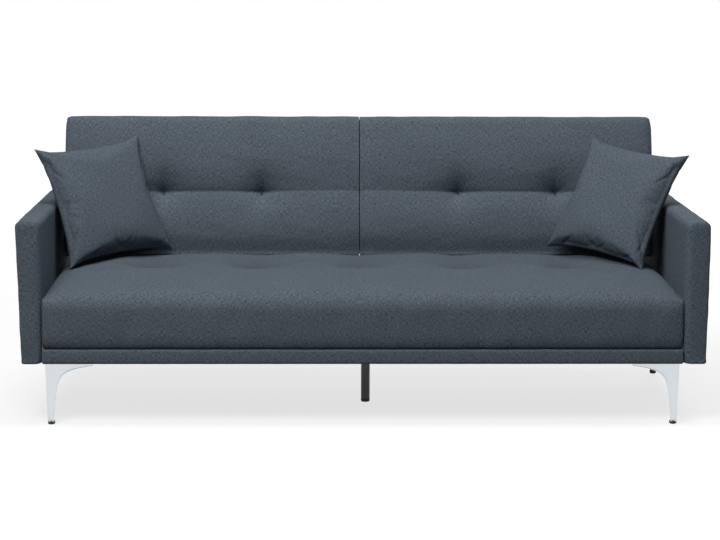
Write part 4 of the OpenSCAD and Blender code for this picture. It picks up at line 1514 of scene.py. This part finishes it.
    def skin(self, inset: float) -> Surface:
        """Closed pad in upright axes: the side outline carried across, then pulled in.

        Args:
            inset: How far it is drawn in.

        Returns:
            The pad's skin.
        """
        start, end = self.ends()
        rear, top = self.front + self.thick, self.clear + self.long
        foot, hem = self.clear + inset, self.clear - self.skirt + inset
        front = self.front + inset
        line = rounded_outline([
            (front, hem, 0.007), (front + 0.014, hem, 0.006), (front + 0.026, foot, 0.006),
            (rear - inset, foot, 0.006), (rear - inset, top - inset, self.rear_round),
            (front, top - inset, self.top_round),
        ], 10)
        ring = spaced(line, self.round_points, 1 + 1.8 * (line[:, 0] < self.front + 0.05))
        x, shrink = round_stations(start + inset, end - inset, self.split_round, self.outer_round,
                                   self.stations, 8)
        rings = swept(x, drawn_in(ring, shrink))
        across, deep, up = (rings[..., k].copy() for k in range(3))
        sign = self.side.value
        soft = (0.0008 * ripple(across, up, 0.15, 51 + sign)
                + 0.0004 * ripple(across, up, 0.05, 53 + sign))
        from_ends = np.minimum(across - start, end - across)
        rim = np.minimum(from_ends, np.minimum(top - up, up - self.clear))
        panel = (self.seam_depth * bell(rim - self.seam_in, 0.0025) - self.rear_out
                 + self.buffer_give * self.near_buffer(across, up))
        wave = self.slack + 0.0006 * ripple(across, deep, 0.11, 55 + sign)
        face = smoothstep(self.front + 0.070, self.front + 0.012, deep)
        rings[..., 1] += face * (self.face_pull(across, up) + self.slack - soft)
        rings[..., 1] -= smoothstep(rear - 0.02, rear, deep) * panel
        corner = 0.012 * np.square(np.clip(1 - (end - across) / 0.014, 0, 1)) * face
        rings[..., 2] -= smoothstep(top - 0.05, top - 0.01, up) * (wave + corner)
        rings[..., 0] *= sign
        # Painted shade and highlight of the crease and tufts, on the front face only.
        folds = self.face_folds(across, up) * smoothstep(self.front + 0.03, self.front + 0.01, deep)
        return loft(rings, dome=0.0, cap=10, folds=folds)

    def stitches(self) -> Surface:
        """Top stitching beside the split: a row of short rounded stitches along the front face."""
        step, length, thick = 0.0065, 0.0042, 0.0006
        start = self.ends()[0] + 0.0105
        top = self.clear + self.long - self.top_round
        level = np.arange(self.clear + 0.03, top, step)
        s = np.linspace(-1, 1, 7)
        turn = np.linspace(0, 2 * math.pi, 8, endpoint=False)
        fat = thick * np.sqrt(np.clip(1 - s**4, 0.02, 1))
        parts = []
        for z in level:
            along = z + s * length / 2
            depth = self.front + self.face_pull(np.full(7, start), along) + 0.0012
            ring = np.stack([
                start + fat[:, None] * np.cos(turn), depth[:, None] + fat[:, None] * np.sin(turn),
                np.broadcast_to(along[:, None], (7, 8)),
            ], -1)
            ring[..., 0] *= self.side.value
            parts.append(loft(ring, cap=2))
        return joined(parts)

    def build(self, bench: Bench) -> None:
        """Makes the cover and the foam, and dresses the frame and the hinges in them.

        Args:
            bench: Where the pieces are made.
        """
        word = self.side.word
        body = f"{word}_back"
        place = self.place()
        bench.piece(f"{word}_back_upholstery", self.skin(0.0).placed(place), FINISHES.upholstery,
                    body, (f"{word}_back_cover",))
        bench.piece(f"{word}_back_foam_block", self.skin(self.foam_inset).placed(place),
                    FINISHES.foam, body, (f"{word}_back_foam",))
        if self.side is Side.RIGHT:
            bench.piece(f"{word}_back_stitching", self.stitches().placed(place), FINISHES.thread, body)
        bench.dress(FINISHES.beech, f"{word}_back_frame")
        bench.dress(FINISHES.ply, f"{word}_back_board")
        bench.dress(FINISHES.cord, f"{word}_back_tuft_ties")
        bench.dress(FINISHES.hinge, f"{word}_back_brackets")
        bench.dress(FINISHES.zinc, f"{word}_back_screws")


# ---------- throw pillows ----------


@dataclass
class Pillow:
    """One square throw pillow with knife edges."""

    side: Side
    turn: float
    lean: float
    roll: float
    width: float = 0.384
    thick: float = 0.116
    waist: float = 0.015
    edge: float = 0.005
    power: float = 2.6
    face_power: float = 0.6
    edge_bunching: float = 0.62
    low_heavy: float = 0.16
    cells: int = 80
    corner_out: float = 0.016
    pressure: float = 4.0
    frames: int = 22
    cap: float = 0.011
    filled: float = 0.93

    def place(self) -> Matrix:
        """From the pillow's upright axes to the frame; its middle is the middle of its box."""
        low, high = box(f"{self.side.word}_pillow_cover")
        turns = (Matrix.Rotation(math.radians(self.turn), 4, "Z")
                 @ Matrix.Rotation(math.radians(-self.lean), 4, "X")
                 @ Matrix.Rotation(math.radians(self.roll), 4, "Y"))
        return Matrix.Translation((low + high) / 2) @ turns

    def sewn(self, width: float, crown: float, waist: float) -> Surface:
        """Closed pillow: two crowned faces that meet in the edge.

        Over u and v from -1 to 1, the half thickness is the edge's plus
        ((1 - |u|^power) (1 - |v|^power))^face_power of the crown's, and each side is drawn in by
        waist * (1 - v^2).

        Args:
            width: Width from corner to corner.
            crown: Half the thickness in the middle.
            waist: How far each side is drawn in at its middle.

        Returns:
            The pillow's skin, in its upright axes.
        """
        bunch = math.pi / 2 * self.edge_bunching
        line = np.sin(np.linspace(-1, 1, self.cells + 1) * bunch) / math.sin(bunch)
        u, v = np.meshgrid(line, line, indexing="ij")
        full = (1 - np.abs(u) ** self.power) * (1 - np.abs(v) ** self.power)
        half = self.edge / 2 + (crown - self.edge / 2) * np.clip(full, 0, 1) ** self.face_power
        x = u * (width / 2 - waist * (1 - v * v))
        z = v * (width / 2 - waist * (1 - u * u))
        return thick_sheet(np.stack([x, -half, z], -1), np.stack([x, half, z], -1))

    def blown_up(self) -> Surface:
        """Pillow sewn flat and blown up as cloth, kept near its finished shape.

        Returns:
            The pillow's skin, in its upright axes.
        """
        goal = self.sewn(self.width, self.thick / 2, self.waist)
        flat = self.sewn(self.width + self.corner_out, self.thick * 0.28, self.waist * 0.3)
        points = as_cloth(f"{self.side.word}_case_in_the_making", flat, self.pressure, self.frames)
        points[:, 1] *= self.thick / np.ptp(points[:, 1])
        points[:, 1] *= 1 - self.low_heavy * points[:, 2] / (self.width / 2)
        moved = points - goal.points
        far = np.linalg.norm(moved, axis=1, keepdims=True)
        kept = moved * np.minimum(1.0, self.cap / np.maximum(far, 1e-9))
        return Surface(goal.points + kept, goal.quads, goal.threes)

    def build(self, bench: Bench) -> None:
        """Makes the case and the filling.

        Args:
            bench: Where the pieces are made.
        """
        word = self.side.word
        place = self.place()
        plain = self.sewn(self.width, self.thick / 2, self.waist)
        case = self.blown_up()
        inner = Surface(case.points * self.filled, case.quads, case.threes)
        bench.piece(f"{word}_cushion_case", case.placed(place), FINISHES.cushion,
                    f"{word}_pillow", (f"{word}_pillow_cover",))
        bench.piece(f"{word}_cushion_filling", inner.placed(place), FINISHES.filling,
                    f"{word}_pillow", (f"{word}_pillow_insert",))


# ---------- legs ----------


def leg_corner(side: Side, end: End) -> Array:
    """Outer corner of one leg's box, on the floor.

    Args:
        side: Side of the sofa.
        end: End of the base.

    Returns:
        The corner.
    """
    low, high = box(f"{end.word}_{side.word}_leg")
    return np.array([low[0] if side is Side.LEFT else high[0],
                     low[1] if end is End.FRONT else high[1], 0.0])


@dataclass
class BracketLeg:
    """One pressed bracket leg: two wings that meet in a rounded corner under a top plate."""

    side: Side
    end: End
    wing: float = 0.139
    tip: float = 0.009
    tip_round: float = 0.003
    foot: float = 0.024
    foot_up: float = 0.008
    lean: float = 0.005
    knee: tuple[float, float] = (0.033, 0.025)
    knee_pull: float = 2.5
    wall: float = 0.004
    corner: float = 0.006
    plate: float = 0.003
    plate_tail: float = 0.038
    rim: float = 0.0032
    rim_rise: float = 0.0007

    def free_edge(self, t: Array, top: float) -> tuple[Array, Array]:
        """Curved free edge of a wing: a conic from the tip (t = 0) past the knee to the foot.

        The point is the mean of tip, knee and foot with the weights (1 - t)^2,
        2 knee_pull t (1 - t) and t^2.

        Args:
            t: Share of the way down.
            top: Height of the mounting plane.

        Returns:
            Distance from the corner and height.
        """
        w0, w1, w2 = (1 - t) ** 2, 2 * self.knee_pull * t * (1 - t), t**2
        total = w0 + w1 + w2
        reach = (w0 * self.wing + w1 * self.knee[0] + w2 * self.foot) / total
        drop = (w0 * self.tip + w1 * self.knee[1] + w2 * (top - self.foot_up)) / total
        return reach, top - drop

    def wings(self, top: float) -> Surface:
        """Both wings as one bent sheet with raised rims, drawn with its corner at the origin.

        Each rung runs from one free edge along the wing, round the corner's quarter circle and
        along the other wing to its free edge. The sheet is wall thick, thins to a half round at
        its free edges and rises by rim_rise over the rims.

        Args:
            top: Height of the mounting plane.

        Returns:
            The sheet's skin.
        """
        t = np.linspace(1, 0, 64) ** 1.3
        reach, edge_up = self.free_edge(t, top)
        line_up = edge_up + (top - edge_up) * (1 - t) ** 1.6
        turn = np.linspace(0, math.pi / 2, 6)[1:]
        reach = np.concatenate([reach, self.wing - 0.001 + self.tip_round * np.sin(turn) * 0.5])
        edge_up = np.concatenate([edge_up, top - self.tip + (self.tip - 0.0003) * turn / turn[-1]])
        line_up = np.concatenate([line_up, np.full(5, top - 0.0002)])
        lean = self.lean * (1 - line_up / top)
        share = np.concatenate([[0, 0.25, 0.6, 1.0, 1.5, 2.2, 3.2], np.linspace(4.2, 20, 16)])
        run = reach - lean - self.corner
        from_edge = np.minimum(share[None, :] * self.rim / 3.2, run[:, None] * 0.999)
        grow = np.linspace(0, 1, len(share))[None, :] ** 1.5
        from_edge = from_edge * (1 - grow) + run[:, None] * grow
        s = run[:, None] - from_edge
        bend = np.linspace(0, math.pi / 4, 5)[1:]
        flat_x = lean[:, None] + self.corner + s
        flat_y = np.broadcast_to(lean[:, None], s.shape)
        arc_x = lean[:, None] + self.corner * (1 - np.sin(bend))
        arc_y = lean[:, None] + self.corner * (1 - np.cos(bend))
        x = np.concatenate([flat_x, arc_x], 1)
        y = np.concatenate([flat_y, arc_y], 1)
        rise = np.concatenate([s / np.maximum(run[:, None], 1e-6), np.zeros(arc_x.shape)], 1)
        z = line_up[:, None] + (edge_up - line_up)[:, None] * rise
        nx = np.concatenate([np.zeros(s.shape), np.broadcast_to(-np.sin(bend), arc_x.shape)], 1)
        ny = np.concatenate([-np.ones(s.shape), np.broadcast_to(-np.cos(bend), arc_x.shape)], 1)
        away = np.concatenate([from_edge, np.full(arc_x.shape, self.rim * 4)], 1)
        round_off = self.wall / 2 * (1 - np.sqrt(1 - np.square(np.clip(1 - away / 0.0015, 0, 1))))
        bead = self.rim_rise * (smoothstep(self.rim + 0.001, self.rim - 0.001, away) - 1)
        half = np.clip(self.wall / 2 - round_off, 0.0002, 1)
        mid = self.wall / 2

        def skin(offset: Array) -> Array:
            one = np.stack([x + nx * offset, y + ny * offset, z], -1)
            other = one[:, ::-1][:, :, [1, 0, 2]]
            return np.concatenate([one, other[:, 1:]], 1)

        return thick_sheet(skin(half - mid + bead), skin(-half - mid))

    def top_plate(self, top: float) -> Surface:
        """Mounting plate: a five-cornered plate with slightly rounded rims."""
        w, tail = self.wing, self.plate_tail
        outline = rounded_outline([(0.0, 0.0, 0.004), (w, 0.0, 0.003), (w, tail, 0.004),
                                   (tail, w, 0.004), (0.0, w, 0.003)], 4)
        inset = np.array([0.0006, 0.0, 0.0, 0.0006])
        level = top - self.plate + np.array([0.0, 0.0006, self.plate - 0.0006, self.plate])
        flat = drawn_in(outline, inset)
        up = np.broadcast_to(level[:, None, None], flat.shape[:2] + (1,))
        return loft(np.concatenate([flat, up], -1), cap=3)

    def build(self, bench: Bench) -> None:
        """Makes the leg in its corner of the base.

        Args:
            bench: Where the pieces are made.
        """
        node = f"{self.end.word}_{self.side.word}_leg"
        corner = leg_corner(self.side, self.end)
        flip = Matrix.Diagonal((-self.side.value, -self.end.value, 1.0, 1.0))
        top = float(box(node)[1][2])
        leg = joined([self.wings(top), self.top_plate(top)])
        turned = leg.placed(Matrix.Translation(corner) @ flip)
        if self.side.value * self.end.value < 0:
            turned = Surface(turned.points, turned.quads[:, ::-1], turned.threes[:, ::-1],
                             turned.plain)
        bench.piece(f"{self.end.word}_{self.side.word}_bracket", turned, FINISHES.chrome, "base",
                    (node,))


@dataclass
class Feet:
    """The legs' glides and the middle leg."""

    glide: float = 0.0105
    glide_round: float = 0.0045
    from_corner: float = 0.005

    def glides(self) -> Surface:
        """Four round glides: a turned outline whose underside edge is a quarter circle."""
        side = box("leg_glides")[1][2] * 0.5 + 0.0006
        turn = np.linspace(0, math.pi / 2, 7)
        r = self.glide_round
        outline = np.concatenate([
            np.stack([self.glide - r + r * np.sin(turn), r - r * np.cos(turn)], -1),
            [[self.glide, side], [self.glide - 0.0008, side + 0.0008],
             [self.glide - 0.004, side + 0.003]],
        ])
        angle = np.linspace(0, 2 * math.pi, 32, endpoint=False)
        spot = np.stack([
            outline[:, :1] * np.cos(angle), outline[:, :1] * np.sin(angle),
            np.broadcast_to(outline[:, 1:], (len(outline), 32)),
        ], -1)
        inset = self.from_corner + self.glide
        corners = [(leg_corner(one, end), one, end) for end in End for one in Side]
        return joined([
            loft(spot + at - inset * np.array([one.value, end.value, 0.0]), cap=3)
            for at, one, end in corners])

    def build(self, bench: Bench) -> None:
        """Makes the glides and dresses the middle leg and the screws.

        Args:
            bench: Where the pieces are made.
        """
        bench.piece("glide_feet", self.glides(), FINISHES.plastic, "base", ("leg_glides",))
        bench.dress(FINISHES.enamel, "centre_leg", "centre_leg_plate")
        bench.dress(FINISHES.rubber, "centre_leg_foot")
        bench.dress(FINISHES.zinc, "leg_screws")


@dataclass
class Works:
    """Frame rails, hinges and pawls, which keep the frame's own shapes."""

    def build(self, bench: Bench) -> None:
        """Dresses every node of the works.

        Args:
            bench: Where the pieces are made.
        """
        bench.dress(FINISHES.beech, "front_rail", "rear_rail", "hinge_rail")
        bench.dress(FINISHES.beech_deep, "left_side_rail", "right_side_rail", "centre_stretcher")
        bench.dress(FINISHES.rubber, "rest_buffers")
        bench.dress(FINISHES.zinc, "arm_bolts", "hinge_pins", "hinge_nuts", "bracket_screws")
        bench.dress(FINISHES.hinge, "left_seat_brackets", "right_seat_brackets", "left_pawls",
                    "right_pawls")
        bench.dress(FINISHES.spring, "left_pawl_springs", "right_pawl_springs")


# ---------- studio ----------


@dataclass
class Studio:
    """Pale floor, soft lights and the camera."""

    camera_at: tuple[float, float, float] = (-0.145, -6.779, 1.379)
    pitch: float = 8.246
    yaw: float = 1.205
    roll: float = 0.202
    lens: float = 112.53
    backdrop: float = 1.0
    fill: float = 0.07
    mirrored: float = 0.45
    floor_radius: float = 30.0
    floor_drop: float = 0.0005

    def lamp(self, name: str, place: tuple[float, float, float], aim: tuple[float, float, float],
             size: tuple[float, float], power: float) -> None:
        """Adds one soft lamp.

        Args:
            name: Name of the lamp.
            place: Where it hangs.
            aim: What it points at.
            size: Width and height of its face.
            power: Its power in watts.
        """
        data = bpy.data.lights.new(name, "AREA")
        data.shape, data.size, data.size_y, data.energy = "RECTANGLE", size[0], size[1], power
        lamp = linked(name, data)
        way = np.array(aim) - np.array(place)
        flat = math.hypot(way[0], way[1])
        lamp.location = place
        heading = math.atan2(way[1], way[0]) - math.pi / 2
        lamp.rotation_euler = (math.atan2(flat, -way[2]), 0.0, heading)

    def floor(self) -> None:
        """Pale floor: a large matt disc with a faint mottle.

        The camera and mirrors see it glow, fading to white far out. As a light on the sofa it
        is a darker, plain matt floor.
        """
        angle = np.linspace(0, 2 * math.pi, 64, endpoint=False)
        rim = np.stack([self.floor_radius * np.cos(angle), self.floor_radius * np.sin(angle),
                        np.full(64, -self.floor_drop)], -1)
        mesh = bpy.data.meshes.new("studio_floor")
        mesh.from_pydata(rim.tolist(), [], [list(range(64))])
        floor = linked("studio_floor", mesh)
        material = bpy.data.materials.new("studio_floor")
        material.use_nodes = True
        tree = Tree(material.node_tree)
        tree.tree.nodes.clear()
        place = tree.put("TexCoord").outputs["Object"]
        cloud = tree.between(tree.noise(place, 3.0), 0.3, 0.7)
        tone = tree.mix(cloud, (0.30, 0.30, 0.30, 1), (0.33, 0.33, 0.33, 1))
        away = tree.put("VectorMath", {0: place}, operation="LENGTH").outputs["Value"]
        glow = tree.between(away, 1.5, 6.0, 0.74, 1.0)
        seen = tree.put("AddShader", {
            0: tree.put("BsdfDiffuse", {"Color": tone}).outputs[0],
            1: tree.put("Emission", {"Strength": glow}).outputs[0],
        })
        lit = tree.put("BsdfDiffuse", {"Color": tree.mix(0.5, tone, (0.2, 0.2, 0.2, 1))})
        path = tree.put("LightPath")
        share = tree.math("MAXIMUM", path.outputs["Is Camera Ray"], path.outputs["Is Glossy Ray"])
        mix = tree.put("MixShader", {0: share, 1: lit.outputs[0], 2: seen.outputs[0]})
        tree.put("OutputMaterial", {"Surface": mix.outputs[0]})
        mesh.materials.append(material)

    def sky(self) -> None:
        """White surroundings: bright to the camera, dimmer as a light."""
        world = bpy.data.worlds.new("studio")
        world.use_nodes = True
        tree = Tree(world.node_tree)
        tree.tree.nodes.clear()
        path = tree.put("LightPath")
        share = tree.math("MAXIMUM", path.outputs["Is Camera Ray"],
                          tree.times(path.outputs["Is Glossy Ray"], self.mirrored))
        seen = tree.put("Background", {"Color": (1, 1, 1, 1), "Strength": self.backdrop})
        lit = tree.put("Background", {"Color": (0.97, 0.985, 1.0, 1), "Strength": self.fill})
        mix = tree.put("MixShader", {0: share, 1: lit.outputs[0], 2: seen.outputs[0]})
        tree.put("OutputWorld", {"Surface": mix.outputs[0]})
        bpy.context.scene.world = world

    def build(self) -> None:
        """Sets up the camera, the lights, the floor and the surroundings."""
        data = bpy.data.cameras.new("camera")
        data.lens, data.sensor_width = self.lens, 36.0
        camera = linked("camera", data)
        aim = (Matrix.Rotation(math.radians(-self.yaw), 4, "Z")
               @ Matrix.Rotation(math.radians(90 - self.pitch), 4, "X")
               @ Matrix.Rotation(math.radians(self.roll), 4, "Z"))
        camera.matrix_world = Matrix.Translation(self.camera_at) @ aim
        bpy.context.scene.camera = camera
        bpy.context.scene.view_settings.view_transform = "Standard"
        self.lamp("key", (-1.3, -3.4, 4.1), (0.1, 0.0, 0.6), (2.4, 1.8), 164.0)
        self.lamp("overhead", (0.3, -0.6, 4.3), (0.2, 0.1, 0.4), (3.4, 1.6), 88.0)
        self.lamp("rear", (1.6, 4.6, 2.6), (0.0, 0.3, 0.4), (2.6, 1.6), 60.0)
        self.floor()
        self.sky()


def main() -> None:
    """Builds the studio and every sub-assembly in order."""
    logging.basicConfig(level=logging.INFO, format="%(message)s")
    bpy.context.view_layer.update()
    Studio().build()
    bench = Bench()
    parts = [
        Seat(), RailCloth(), Arm(Side.LEFT, 0.014), Arm(Side.RIGHT, 0.006),
        BackHalf(Side.LEFT), BackHalf(Side.RIGHT),
        Pillow(Side.LEFT, 38.7, 23.0, -4.0), Pillow(Side.RIGHT, -44.5, 27.0, 6.0),
        *(BracketLeg(side, end) for end in End for side in Side), Feet(), Works(),
    ]
    for part in parts:
        part.build(bench)
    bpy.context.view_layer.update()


if __name__ == "__main__":
    main()
